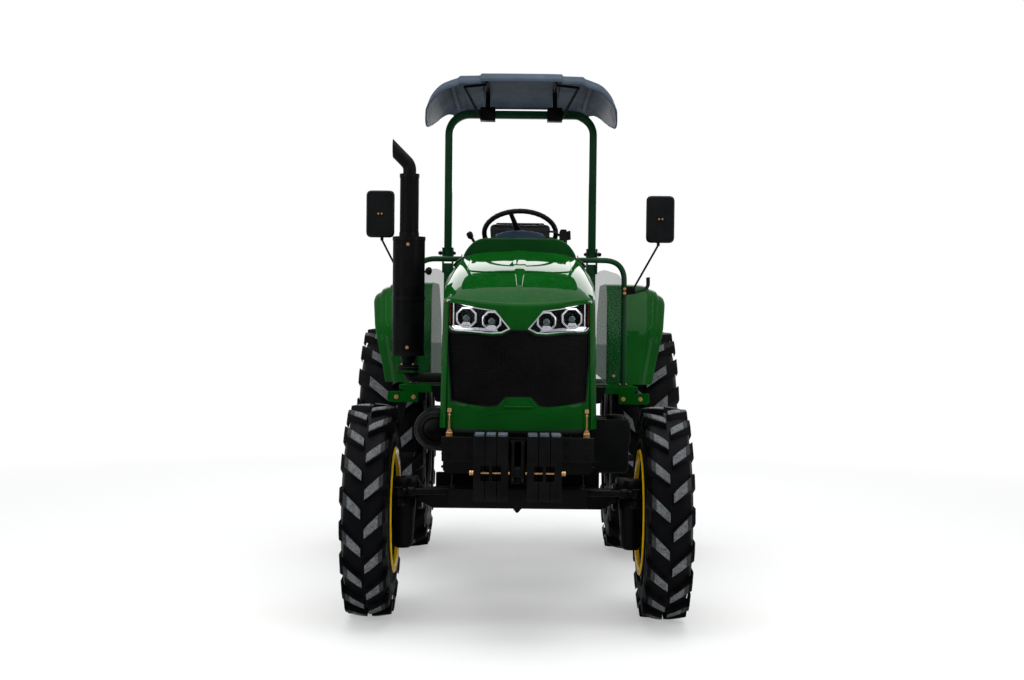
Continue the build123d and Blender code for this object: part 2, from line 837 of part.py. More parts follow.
def hood_latches():
    """Draw latches on the hood's lower front corners."""
    latches = []
    for side in (-1, 1):
        x = side * 306
        y = hood_corner_y - 19
        base = block(x - 11, x + 11, y - 16, y, 985, 1012)
        rod = block(x - 4, x + 4, y - 14, y - 6, 930, 990)
        body = block(x - 13, x + 13, y - 22, y - 4, 874, 936)
        latches.append(base.fuse(rod, body))
    return latches


# ---------------------------------------------------------------- cowl and controls
def dash_cowl():
    """The cowl between hood and driver: a shell with a flat top, and the hood's hinge arms on its front."""
    outer = symmetric(
        [
            (0, platform_z + gap),
            (cowl_half, platform_z + gap),
            (cowl_half, cowl_top_z - 85, 40),
            (cowl_half - 71, cowl_top_z, 40),
            (0, cowl_top_z),
        ]
    )
    inner = symmetric(
        [
            (0, platform_z - 5),
            (cowl_half - skin, platform_z - 5),
            (cowl_half - skin, cowl_top_z - 87, 36),
            (cowl_half - 73, cowl_top_z - skin, 36),
            (0, cowl_top_z - skin),
        ]
    )
    cowl = front_plate(outer, cowl_front_y, cowl_rear_y)
    cowl -= front_plate(inner, cowl_front_y + skin, cowl_rear_y - skin)
    arms = []
    arm = [
        (hood_hinge_y - 13, hood_hinge_z - 6),
        (hood_hinge_y - 13, hood_hinge_z + 13, 12),
        (hood_hinge_y + 13, hood_hinge_z + 13, 12),
        (hood_hinge_y + 13, hood_hinge_z + 2),
        (cowl_front_y + 2, hood_hinge_z - 37),
        (cowl_front_y + 2, hood_hinge_z - 72),
        (cowl_front_y - 12, hood_hinge_z - 72),
    ]
    for side in (-1, 1):
        arms.append(side_plate(arm, side * 102 - 3, side * 102 + 3))
        arms.append(x_cylinder(hinge_pin_r, side * 99, side * 118, hood_hinge_y, hood_hinge_z))
    return cowl.fuse(*arms)


def dash_controls():
    """The instrument dome on the cowl, a control box on its left and a hand lever on its right."""
    top = cowl_top_z + gap
    dome = symmetric([(0, top), (141, top), (118, top + 31, 40), (60, top + 49, 60), (0, top + 51)])
    y = cowl_rear_y + gap
    box = block(214, 256, y, y + 60, top - 70, top + 62).fuse(block(252, 276, y + 10, y + 34, top, top + 56))
    lever = rod_between((-232, y + 13, top - 38), (-268, y + 20, top + 20), 9).fuse(
        rod_between((-264, y + 19, top + 14), (-282, y + 21, top + 42), 18),
        block(-250, -214, y, y + 26, top - 88, top - 28),
    )
    return [front_plate(dome, cowl_rear_y - 150, cowl_rear_y), box, lever]


def on_column(distance):
    """A plane across the steering column, at a distance below the steering wheel's centre."""
    axis = Vector(0, sin(radians(column_tilt)), cos(radians(column_tilt)))
    return Plane(origin=Vector(*wheel_centre) - axis * distance, x_dir=(1, 0, 0), z_dir=axis)


def steering_wheel():
    plane = on_column(0)
    hub = extrude(on_column(30) * Circle(44), 42)
    spokes = []
    for turn in (-106, 14, 134):
        a = radians(turn)
        hub_point = plane.from_local_coords(Vector(20 * cos(a), 20 * sin(a), -12))
        rim_point = plane.from_local_coords(Vector(wheel_r * cos(a), wheel_r * sin(a), 0))
        spokes.append(rod_between(hub_point, rim_point, 11))
    return (plane * Torus(wheel_r, 14)).fuse(hub, *spokes)


def steering_column():
    """The column's tube, ending against the cowl's rear face."""
    tube = extrude(on_column(460) * Circle(column_r), 460 - 30.5)
    return tube - block(-100, 100, cowl_rear_y - 400, cowl_rear_y + gap, 1300, 2000)


# ---------------------------------------------------------------- platform, steps, fenders
def platform():
    """The footboard with its front beam and the brackets under the beam's ends."""
    y1 = rear_y - 250
    parts = [
        block(-platform_half + 10, platform_half - 10, platform_y, front_y + 1262, platform_z - 6, platform_z),
        block(-floor_half, floor_half, front_y + 1262, y1, platform_z - 6, platform_z),
    ]
    for side in (-1, 1):
        parts.append(block(side * 535, side * 700, platform_y, platform_y + 8, 948, 1008))
        parts.append(block(side * 590, side * 640, platform_y + 8, platform_y + 250, 1000, 1040))
    for y in (front_y + 1100, y1 - 40):
        parts.append(block(-340, 340, y, y + 40, 1000 + gap, platform_z - 6))
    front_beam = block(-platform_half, platform_half, platform_y, platform_y + 30, platform_z - beam_height, platform_z)
    return front_beam.fuse(step(), mirrored(step()), *parts)


def step():
    """The left-hand hanging step."""
    y0, y1 = platform_y + 70, platform_y + 290
    tread_z = 640
    parts = []
    for y in (y0, y1 - 8):
        hanger = [
            (596, 1004),
            (636, 1004),
            (700, tread_z + 40, 30),
            (700, tread_z, 6),
            (560, tread_z, 6),
            (560, tread_z + 14),
            (672, tread_z + 14, 20),
            (672, tread_z + 40, 30),
        ]
        parts.append(front_plate(hanger, y, y + 8))
    parts.append(block(560, 700, y0, y1, tread_z, tread_z + 8))
    return parts[0].fuse(*parts[1:])


def fender_solid(inset):
    """The left fender's stepped body, or its inside when inset."""
    pieces = []
    inner = fender_inner_x + inset
    for number, (outer, drop) in enumerate(fender_tiers):
        start = inner if number == 0 else fender_tiers[number - 1][0] - 20
        end = outer - inset if number < 2 or not inset else outer + 30
        d = drop + inset
        low = platform_z - 6 - (80 if inset else 0)
        profile = [
            (rear_y - 850 + d * 0.7, low),
            (rear_y - 800 + d * 0.7, 1330, 220),
            (rear_y - 520, fender_z - d, 190),
            (rear_y + 260, fender_z - d, 220),
            (rear_y + 570 - d * 0.6, 1400, 180),
            (rear_y + 650 - d * 0.6, low),
        ]
        pieces.append(side_plate(profile, start, end))
    return pieces[0].fuse(*pieces[1:])


def fender():
    """The left fender: inner wall, stepped crown, front and rear aprons that narrow downwards."""
    front_view = [
        (fender_inner_x - 10, 1000),
        (738, 1000),
        (772, 1150, 200),
        (816, 1340, 200),
        (838, 1490, 30),
        (828, 1540, 14),
        (828, 1700),
        (fender_inner_x - 10, 1700),
    ]
    shell = fender_solid(0) - fender_solid(skin)
    return shell & front_plate(front_view, rear_y - 950, rear_y + 800)


# ---------------------------------------------------------------- handrails, mirrors, guards
def handrail():
    rail = bent_tube(
        [
            (cowl_half + gap, handrail_y, handrail_z),
            (handrail_x, handrail_y, handrail_z),
            (handrail_x, handrail_y, platform_z + gap),
        ],
        100,
        handrail_r,
    )
    pad = x_cylinder(26, cowl_half + gap, cowl_half + 6, handrail_y, handrail_z)
    foot = block(handrail_x - 30, handrail_x + 30, handrail_y - 24, handrail_y + 24, platform_z + gap, platform_z + 8)
    return rail.fuse(pad, foot)


def clear_guard():
    """A clear sheet between the hood's side and the handrail's post."""
    edge = handrail_x - handrail_r - gap
    sheet = [
        (346, 1062, 12),
        (edge, 1062),
        (edge, 1640, 40),
        (430, 1676, 60),
        (346, 1560, 70),
    ]
    return front_plate(sheet, handrail_y - 3, handrail_y + 2)


def mirror_arm(reach, base):
    """The clamp plate on the handrail's post with the mirror's thin stem."""
    y0 = handrail_y - handrail_r - gap
    plate = block(handrail_x - 14, handrail_x + 60, y0 - 6, y0, 1530, 1580)
    foot = (handrail_x + 44, y0 - 6, 1560)
    knee = (reach - 10, y0 - 10, base - 10)
    stem = rod_between(foot, knee, 5)
    socket = block(reach - 18, reach - 2, y0 - 18, y0 - 2, base - 16, base - gap)
    return plate.fuse(stem, Pos(*foot) * Sphere(9), socket)


def mirror_head(reach, base):
    y0 = handrail_y - handrail_r - 22
    body = block(reach - 76, reach + 76, y0 - 12, y0 + 20, base, base + 252)
    return fillet(body.edges().filter_by(Axis.Y), 30)


def mirrors():
    left, right = (747, 1813), (746, 1827)
    return [mirror_arm(*left), mirror_head(*left), mirrored(mirror_arm(*right)), mirrored(mirror_head(*right))]


# ---------------------------------------------------------------- seat
def seat_frame():
    """The seat's pedestal, its pan and the upright that carries the backrest."""
    y0 = front_y + 1660
    back_y = front_y + 1995 + 85 + gap
    return block(-150, 150, y0, y0 + 280, platform_z + gap, 1425).fuse(
        block(-190, 190, front_y + 1590, back_y + 14, 1420, 1440),
        block(-60, 60, back_y, back_y + 14, 1420, 1700),
    )


def seat_cushions():
    """The seat cushion and the backrest, both plain closed pads."""
    y0 = front_y + 1550
    base = block(-235, 235, y0, y0 + 430, 1440 + gap, 1540)
    base = fillet(base.edges().filter_by(Axis.Z), 60)
    profile = symmetric([(0, 1500), (190, 1500, 20), (184, 1978, 70), (0, 1978)])
    return [base, front_plate(profile, front_y + 1995, front_y + 1995 + 85)]


# ---------------------------------------------------------------- roll bar and canopy
def rops_posts():
    """The two fixed posts, each a clevis for the hoop's leg with its pin, and a gusset at the foot."""
    half, depth = rops_tube / 2, rops_depth / 2
    low = rear_hub_z + 118 + gap
    post = block(rops_half - half, rops_half + half, rops_y - depth, rops_y + depth, low, rops_pivot_z - 62)
    parts = [block(rops_half - 34, rops_half + 34, rear_y - 60, rops_y + 45, low, low + 14)]
    gusset = [(rops_y - depth, low + 14), (rear_y - 55, low + 14), (rops_y - depth, low + 170)]
    parts.append(side_plate(gusset, rops_half - 5, rops_half + 5))
    for x0, x1 in ((-34, -half - 1), (half + 1, 34)):
        parts.append(
            block(rops_half + x0, rops_half + x1, rops_y - 38, rops_y + 38, rops_pivot_z - 120, rops_pivot_z + 34)
        )
    parts.append(
        block(rops_half - 30, rops_half + 30, rops_y - depth, rops_y + depth, rops_pivot_z - 120, rops_pivot_z - 62)
    )
    parts.append(x_cylinder(rops_pin_r, rops_half - 42, rops_half + 42, rops_y, rops_pivot_z))
    return both(post.fuse(*parts))


def rops_hoop():
    low = rops_pivot_z - 46
    path = FilletPolyline(
        (-rops_half, rops_y, low),
        (-rops_half, rops_y, rops_top_z),
        (rops_half, rops_y, rops_top_z),
        (rops_half, rops_y, low),
        radius=rops_corner,
    )
    start = Plane(origin=path @ 0, x_dir=(1, 0, 0), z_dir=path % 0)
    hoop = sweep(start * RectangleRounded(rops_tube, rops_depth, 8), path=path)
    for side in (-1, 1):
        for across in (-1, 1):
            x = side * rops_half
            hoop -= Pos(x, rops_y + across * 36, low - 4) * Rot(45, 0, 0) * Box(60, 30, 30)
    return hoop - x_cylinder(rops_pin_r + running, -rops_half - 40, rops_half + 40, rops_y, rops_pivot_z)


def canopy():
    """A moulded roof: arched across, turned down at the front and rear, deepest at its side skirts."""
    y0, y1 = canopy_y, canopy_y + canopy_length
    top = canopy_top_z
    half_arch = [
        (562, top - 315),
        (558, top - 205, 60),
        (520, top - 113, 90),
        (470, top - 66, 120),
        (358, top - 28, 60),
        (346, top - 18, 8),
        (232, top - 14),
        (226, top, 4),
        (0, top),
    ]

    def arch(inset, low):
        points = [(p[0] - inset if p[0] else 0, p[1] - inset, *p[2:]) for p in half_arch]
        points[0] = (562 - inset, low)
        return front_plate(symmetric([(0, low)] + points), y0 - 50, y1 + 50)

    def profile(inset):
        side = [
            (y0 + inset, top - 385),
            (y0 + inset, top - 46 - inset, 30),
            (y0 + 60, top - 3 - inset, 100),
            (y0 + 160, top - inset),
            (y1 - 200, top - inset),
            (y1 - 60, top - 10 - inset, 120),
            (y1 - inset, top - 44 - inset, 30),
            (y1 - inset, top - 385),
        ]
        return side_plate(side, -620, 620)

    wall = canopy_wall
    shell = (arch(0, top - 335) & profile(0)) - (arch(wall, top - 345) & profile(wall))
    mouth = symmetric(
        [
            (0, top - 385),
            (549, top - 385),
            (545, top - 205, 60),
            (508, top - 135, 80),
            (440, top - 76, 90),
            (350, top - 56, 60),
            (0, top - 54),
        ]
    )
    shell -= front_plate(mouth, y0 - 60, y1 + 60)
    return arch_keep(shell, y0, y1)


def arch_keep(shell, y0, y1):
    """Trims the skirts to their lower line, lowest a little behind the front edge."""
    top = canopy_top_z
    below = [
        (y0 - 60, top - 485),
        (y0 - 60, top - 154),
        (y0, top - 184),
        (y0 + 190, top - 280, 60),
        (y0 + 420, top - 274, 200),
        (y1 - 240, top - 164, 200),
        (y1 + 60, top - 44),
        (y1 + 60, top - 485),
    ]
    return shell - side_plate(below, -640, 640)


def canopy_brackets():
    """Clamps on the crossbar, thin rails under the roof and the bent struts to its front."""
    brackets = []
    rail_z = canopy_top_z - canopy_wall - gap - 20
    half, depth = rops_tube / 2 + gap, rops_depth / 2 + gap
    y0, y1 = rops_y - depth - 12, rops_y + depth + 12
    for side in (-1, 1):
        x = side * canopy_block_x
        foot_x, front_x = side * (canopy_block_x + 40), side * (canopy_block_x + 130)
        clamp = block(x - 46, x + 46, y0, y1, rops_top_z - 40, rops_top_z + 42)
        clamp -= block(x - 60, x + 60, rops_y - depth, rops_y + depth, rops_top_z - half, rops_top_z + half)
        rail = block(x - 8, x + 8, rops_y - 420, rops_y + 350, rail_z, rail_z + 20)
        stand = block(x - 13, x + 13, rops_y - 26, rops_y + 26, rops_top_z + 42, rail_z + 20)
        front = (front_x, rops_y - 380, rail_z - 18)
        strut = rod_between((foot_x, y0 + 6, rops_top_z - 30), front, 8)
        tie = rod_between((x, rops_y - 380, rail_z - 4), front, 8)
        brackets.append(clamp.fuse(rail, stand, strut, tie))
    return brackets


# ---------------------------------------------------------------- rear linkage
def lower_links():
    """Two lower links with ball-end bosses, bored at both ends."""
    front, end = (238, *lower_pivot), (370, *lower_end)
    link = rod_between(front, end, 16).fuse(
        x_cylinder(27, 226, 256, *lower_pivot),
        x_cylinder(30, 350, 390, *lower_end),
    )
    link -= x_cylinder(11 + running, 200, 280, *lower_pivot)
    return both(link - x_cylinder(link_bore_r, 340, 400, *lower_end))


def lift_arms():
    """The rock shaft with a lift arm at each end, each with a pin for the lift rod."""
    parts = []
    for side in (-1, 1):
        parts.append(x_cylinder(46, side * 200, side * 236, *rock_axis))
        parts.append(rod_between((side * 220, *rock_axis), (side * 240, *arm_end), 22))
        parts.append(x_cylinder(28, side * 226, side * 256, *arm_end))
        parts.append(x_cylinder(10, side * 250, side * 292, *arm_end))
    return x_cylinder(rock_r, -210, 210, *rock_axis).fuse(*parts)


def lift_rods():
    """Two lift rods: an eye on the lift arm's pin, a turnbuckle and an open eye beside the lower link."""
    top, foot = (274, *arm_end), (346, *rod_foot)
    rod = rod_between(top, foot, 11).fuse(
        x_cylinder(22, 262, 286, *arm_end),
        x_cylinder(22, 334, 358, *rod_foot),
        rod_between((292, arm_end[0] + 35, arm_end[1] - 144), (328, arm_end[0] + 105, arm_end[1] - 433), 18),
    )
    return both(rod - x_cylinder(10 + running, 240, 300, *arm_end))


def top_link():
    """The top link, parked straight out from its bracket on the rear case."""
    y0 = case_rear_y + 44 + gap
    bar = y_cylinder(15, y0 + 20, rear_y + 690, 0, 890).fuse(
        block(-24, 24, y0, y0 + 46, 866, 914),
        y_cylinder(22, y0 + 120, y0 + 330, 0, 890),
        block(-22, 22, rear_y + 660, rear_y + 716, 866, 914),
    )
    return bar - x_cylinder(9.7, -40, 40, rear_y + 690, 890)


def main():
    os.makedirs("parts", exist_ok=True)
    nodes = wheel_nodes()
    left_knuckle = knuckle()
    nodes.update(
        front_axle_beam=front_axle_beam(),
        knuckle_left=left_knuckle,
        knuckle_right=mirrored(left_knuckle),
        steering_rods=steering_rods(),
        front_frame=front_frame(),
        front_weights=front_weights(),
        engine=engine(),
        radiator=radiator(),
        transmission=transmission(),
        rear_axle=rear_axle(),
        drawbar=drawbar(),
        exhaust=exhaust(),
        air_cleaner=air_cleaner(),
        fuel_tank=fuel_tank(),
        hood=hood(),
        grille=grille(),
        headlamps=headlamps(),
        hood_latches=hood_latches(),
        dash_cowl=dash_cowl(),
        dash_controls=dash_controls(),
        steering_wheel=steering_wheel(),
        steering_column=steering_column(),
        platform=platform(),
        fenders=both(fender()),
        handrails=both(handrail()),
        clear_guards=both(clear_guard()),
        mirrors=mirrors(),
        seat_frame=seat_frame(),
        seat_cushions=seat_cushions(),
        rops_posts=rops_posts(),
        rops_hoop=rops_hoop(),
        canopy=canopy(),
        canopy_brackets=canopy_brackets(),
        lower_links=lower_links(),
        lift_arms=lift_arms(),
        lift_rods=lift_rods(),
        top_link=top_link(),
    )
    for name, shape in nodes.items():
        pieces = shape if isinstance(shape, list) else [shape]
        solids = [solid for piece in pieces for solid in piece.solids()]
        export_step(Compound(children=solids), f"parts/{name}.step")


main()
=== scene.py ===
import json
import math

import bmesh
import bpy
import numpy as np
from mathutils import Matrix, Vector
from mathutils.geometry import delaunay_2d_cdt

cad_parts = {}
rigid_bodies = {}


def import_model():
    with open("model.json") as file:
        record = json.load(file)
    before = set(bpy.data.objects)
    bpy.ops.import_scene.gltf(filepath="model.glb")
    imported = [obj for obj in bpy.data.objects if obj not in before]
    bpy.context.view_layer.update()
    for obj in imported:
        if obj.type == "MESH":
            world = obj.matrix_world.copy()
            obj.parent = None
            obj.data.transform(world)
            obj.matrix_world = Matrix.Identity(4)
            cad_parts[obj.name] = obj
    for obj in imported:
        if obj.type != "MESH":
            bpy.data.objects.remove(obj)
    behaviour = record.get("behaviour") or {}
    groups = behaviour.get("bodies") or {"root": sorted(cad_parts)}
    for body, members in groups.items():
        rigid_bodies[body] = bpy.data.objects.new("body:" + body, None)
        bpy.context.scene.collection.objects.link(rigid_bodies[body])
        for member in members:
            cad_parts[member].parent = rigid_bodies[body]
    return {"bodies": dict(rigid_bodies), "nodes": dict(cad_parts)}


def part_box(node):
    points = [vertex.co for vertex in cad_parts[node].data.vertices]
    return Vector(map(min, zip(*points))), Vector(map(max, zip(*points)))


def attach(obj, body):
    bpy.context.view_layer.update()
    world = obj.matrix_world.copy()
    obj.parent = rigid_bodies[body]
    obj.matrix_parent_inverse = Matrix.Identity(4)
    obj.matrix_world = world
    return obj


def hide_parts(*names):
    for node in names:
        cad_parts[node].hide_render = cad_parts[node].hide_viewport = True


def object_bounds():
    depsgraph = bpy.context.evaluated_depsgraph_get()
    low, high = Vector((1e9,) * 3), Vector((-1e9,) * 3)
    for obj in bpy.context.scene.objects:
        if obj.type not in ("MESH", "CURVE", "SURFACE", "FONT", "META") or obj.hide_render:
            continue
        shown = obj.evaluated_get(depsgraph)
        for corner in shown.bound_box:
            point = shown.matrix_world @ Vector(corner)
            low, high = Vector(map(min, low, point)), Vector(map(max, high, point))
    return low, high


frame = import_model()
cadLow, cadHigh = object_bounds()
print("tractor frame loaded")


def middle(node):
    low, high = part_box(node)
    return (low + high) / 2


# the two axles' places along the tractor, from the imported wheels
frontY = middle("tyre_front_left").y
rearY = middle("tyre_rear_left").y
# places and values that several pieces share
deckTop = 1.046
railHeight = 1.718
railY = frontY + 1.02
columnY = frontY + 1.131
mergeReach = 2e-5
bothSides = ((1, "left"), (-1, "right"))

# camera, lights and floor; angles in degrees, lengths in metres
viewSetup = {
    "place": (0.0, frontY - 7.48, 1.448),
    "lens": 55.76,
    "pitchDown": 1.084,
    "yaw": 0.25,
    "roll": 0.6,
}
studio = {
    "ambient": 0.62,
    "overhead": 260.0,
    "left": 90.0,
    "right": 90.0,
    "behind": 120.0,
    "floorColour": (0.86, 0.86, 0.85),
    "floorGlow": 0.35,
    "fadeStart": 1.6,
    "fadeEnd": 7.5,
}


def placed(name, data):
    thing = bpy.data.objects.new(name, data)
    bpy.context.scene.collection.objects.link(thing)
    return thing


def plainMesh(piece):
    # the mesh as its modifiers leave it
    return bpy.data.meshes.new_from_object(piece.evaluated_get(bpy.context.evaluated_depsgraph_get()))


def makeCamera():
    # one camera in front of the tractor, turned about its own place
    cameraData = bpy.data.cameras.new("view")
    cameraData.lens = viewSetup["lens"]
    cameraData.sensor_width = 36
    cameraData.clip_end = 200
    camera = placed("view", cameraData)
    matrix = Matrix.Translation(viewSetup["place"])
    for angle, axis in ((viewSetup["yaw"], "Z"), (90 - viewSetup["pitchDown"], "X"), (viewSetup["roll"], "Z")):
        matrix = matrix @ Matrix.Rotation(math.radians(angle), 4, axis)
    camera.matrix_world = matrix
    bpy.context.scene.camera = camera


def areaLamp(name, place, target, size, power):
    lampData = bpy.data.lights.new(name, "AREA")
    lampData.shape = "RECTANGLE"
    lampData.size, lampData.size_y = size
    lampData.energy = power
    lamp = placed(name, lampData)
    lamp.location = place
    lamp.rotation_mode = "QUATERNION"
    lamp.rotation_quaternion = (Vector(target) - Vector(place)).to_track_quat("-Z", "Y")


makeCamera()


def feed(tree, socket, value):
    # links a socket or a signal, or sets a plain value
    value = getattr(value, "socket", value)
    if isinstance(value, bpy.types.NodeSocket):
        tree.links.new(value, socket)
    else:
        socket.default_value = value


def addNode(tree, kind, settings=None, feeds=None):
    node = tree.nodes.new(kind)
    for key, value in (settings or {}).items():
        setattr(node, key, value)
    for key, value in (feeds or {}).items():
        feed(tree, node.inputs[key], value)
    return node


class Signal:
    # a socket that takes + and * in Python
    def __init__(self, finish, socket):
        self.finish, self.socket = finish, socket

    def calc(self, operation, first, second):
        return self.finish.add("ShaderNodeMath", {"operation": operation}, {0: first, 1: second})

    def __add__(self, other):
        return self.calc("ADD", self, other)

    def __radd__(self, other):
        return self.calc("ADD", other, self)

    def __mul__(self, other):
        return self.calc("MULTIPLY", self, other)

    def __rmul__(self, other):
        return self.calc("MULTIPLY", other, self)


def tint(red, green, blue):
    # a display colour, 0 to 255, as the shader wants it
    shares = [c / 255 for c in (red, green, blue)]
    return tuple(c / 12.92 if c < 0.0404 else ((c + 0.055) / 1.055) ** 2.4 for c in shares) + (1.0,)


def paler(colour, gain, lift):
    return tuple(min(1, c * gain + lift) for c in tint(*colour)[:3]) + (1.0,)


class Finish:
    def __init__(self, name, **fixed):
        self.material = bpy.data.materials.new(name)
        self.material.use_nodes = True
        self.tree = self.material.node_tree
        self.tree.nodes.clear()
        self.shader = addNode(self.tree, "ShaderNodeBsdfPrincipled")
        self.output = addNode(self.tree, "ShaderNodeOutputMaterial", None, {0: self.shader.outputs[0]})
        self.spot = None
        self.wire(**fixed)

    def add(self, kind, settings=None, feeds=None, out=0):
        return Signal(self, addNode(self.tree, kind, settings, feeds).outputs[out])

    def place(self):
        if self.spot is None:
            self.spot = self.add("ShaderNodeTexCoord", out=3)
        return self.spot

    def noise(self, scale, detail=3.0, stretch=None):
        spot = self.place()
        if stretch:
            spot = self.add("ShaderNodeMapping", None, {"Vector": spot, "Scale": stretch})
        return self.add("ShaderNodeTexNoise", None, {"Vector": spot, "Scale": scale, "Detail": detail})

    def cells(self, scale, feature="F1"):
        return self.add("ShaderNodeTexVoronoi", {"feature": feature}, {"Vector": self.place(), "Scale": scale})

    def span(self, value, low, high, toLow=0.0, toHigh=1.0):
        feeds = {0: value, 1: low, 2: high, 3: toLow, 4: toHigh}
        return self.add("ShaderNodeMapRange", {"clamp": True}, feeds)

    def mix(self, factor, first, second):
        return self.add("ShaderNodeMix", {"data_type": "RGBA"}, {0: factor, 6: first, 7: second}, out=2)

    def facing(self):
        # how far a face looks up, from -1 to 1
        normal = self.add("ShaderNodeNewGeometry", out=1)
        return self.add("ShaderNodeSeparateXYZ", None, {0: normal}, out=2)

    def mark(self, name):
        return self.add("ShaderNodeAttribute", {"attribute_name": name}, out=2)

    def wire(self, **links):
        for key, value in links.items():
            feed(self.tree, self.shader.inputs[key.replace("_", " ")], value)

    def bump(self, height, strength, distance):
        feeds = {"Height": height, "Strength": strength, "Distance": distance}
        self.wire(Normal=self.add("ShaderNodeBump", None, feeds))
        return self.material


paintWork = {
    # name: colour, shaded colour, roughness, clear coat
    "green": ((6, 70, 16), (4, 58, 11), 0.3, 0.42),
    "cowl_green": ((6, 50, 14), (4, 40, 10), 0.36, 0.3),
    "rops": ((20, 54, 32), (14, 44, 25), 0.4, 0.5),
    "rim": ((224, 182, 10), (198, 154, 8), 0.36, 0.5),
}


def paint(name):
    # coated paint with a cloudy tone, faint dimples and a little dust on top
    colour, shade, rough, coat = paintWork[name]
    f = Finish(name, Coat_Weight=coat, Coat_Roughness=0.03, Coat_IOR=1.2, Specular_IOR_Level=0.0)
    cloud = f.noise(3.2, 2)
    peel = f.noise(90, 2)
    dust = f.span(f.noise(46, 4), 0.52, 0.78) * f.span(f.facing(), 0.2, 1.0) * 0.04
    mixed = f.mix(f.span(cloud, 0.35, 0.68), tint(*shade), tint(*colour))
    roughness = f.span(f.noise(16, 3), 0.3, 0.7, rough - 0.05, rough + 0.07) + dust
    f.wire(Base_Color=f.mix(dust, mixed, tint(150, 150, 138)), Roughness=roughness)
    return f.bump(peel, 0.001, 0.0002)


def castIron(name, colour, rough, grain=0.25):
    # painted casting: grainy, patchy and dusty on top
    f = Finish(name, Specular_IOR_Level=0.03, Coat_Roughness=0.3)
    lumps = f.noise(240, 4)
    patch = f.span(f.noise(9, 3), 0.38, 0.66)
    lighter = paler(colour, 1.6, 0.002)
    dust = f.span(f.facing(), 0.3, 1.0) * f.span(f.noise(28, 4), 0.4, 0.75)
    f.wire(
        Base_Color=f.mix(dust * 0.04, f.mix(patch, tint(*colour), lighter), tint(92, 92, 90)),
        Roughness=f.span(patch, 0, 1, rough - 0.08, rough + 0.08),
        Coat_Weight=f.span(patch, 0, 1, 0.03, 0.0),
    )
    return f.bump(lumps, grain, 0.0012)


def rubber(name):
    # dark rubber, paler and streaked where the mesh is marked as rubbed
    f = Finish(name, Specular_IOR_Level=0.04)
    fine = f.noise(300, 4)
    dusty = f.span(f.noise(12, 5), 0.42, 0.72)
    rubbed = f.mark("rubbed") * f.span(f.noise(60, 5), 0.3, 0.55, 0.55, 1.0)
    dark = f.mix(dusty * 0.5, tint(6, 6, 8), tint(16, 17, 19))
    streak = f.mix(f.span(f.noise(190, 3), 0.3, 0.7), tint(72, 74, 76), tint(116, 118, 120))
    f.wire(Base_Color=f.mix(rubbed, dark, streak), Roughness=f.span(dusty, 0, 1, 0.5, 0.75) + rubbed * 0.12)
    return f.bump(fine, 0.25, 0.0008)


def plastic(name, colour, rough, grain=900.0, strength=0.2, shine=0.06):
    f = Finish(name, Specular_IOR_Level=shine)
    patch = f.span(f.noise(7, 3), 0.35, 0.7)
    lighter = paler(colour, 1.35, 0.002)
    roughness = f.span(f.noise(30, 3), 0.3, 0.7, rough - 0.06, rough + 0.06)
    f.wire(Base_Color=f.mix(patch, tint(*colour), lighter), Roughness=roughness)
    return f.bump(f.cells(grain), strength, 0.0005)


def metal(name, colour, rough, stain=(90, 70, 40), brushed=(1.0, 1.0, 14.0)):
    f = Finish(name, Metallic=1.0)
    grain = f.noise(70, 3, brushed)
    spots = f.span(f.noise(85, 5), 0.56, 0.74)
    roughness = f.span(grain, 0.3, 0.7, rough - 0.07, rough + 0.1) + spots * 0.15
    f.wire(Base_Color=f.mix(spots * 0.6, tint(*colour), tint(*stain)), Roughness=roughness)
    return f.bump(grain, 0.06, 0.0004)


def glass(name, colour, alpha):
    f = Finish(name, Specular_IOR_Level=0.1, IOR=1.45, Coat_Weight=0.0)
    film = f.span(f.noise(5, 3), 0.4, 0.7)
    lighter = paler(colour, 1.6, 0.01)
    f.wire(
        Base_Color=f.mix(film, tint(*colour), lighter),
        Alpha=f.span(film, 0, 1, alpha, alpha + 0.05),
        Roughness=f.span(film, 0, 1, 0.03, 0.11),
    )
    return f.bump(f.noise(3, 2), 0.02, 0.001)


def leather(name):
    f = Finish(name, Specular_IOR_Level=0.12)
    grain = f.cells(520, "DISTANCE_TO_EDGE")
    crease = f.noise(38, 4)
    patch = f.span(f.noise(9, 3), 0.35, 0.7)
    f.wire(Base_Color=f.mix(patch, tint(9, 10, 12), tint(17, 18, 21)),
        Roughness=f.span(crease, 0.3, 0.7, 0.42, 0.58))
    return f.bump(f.span(grain, 0, 0.12) * 0.6 + crease * 0.7, 0.22, 0.0009)


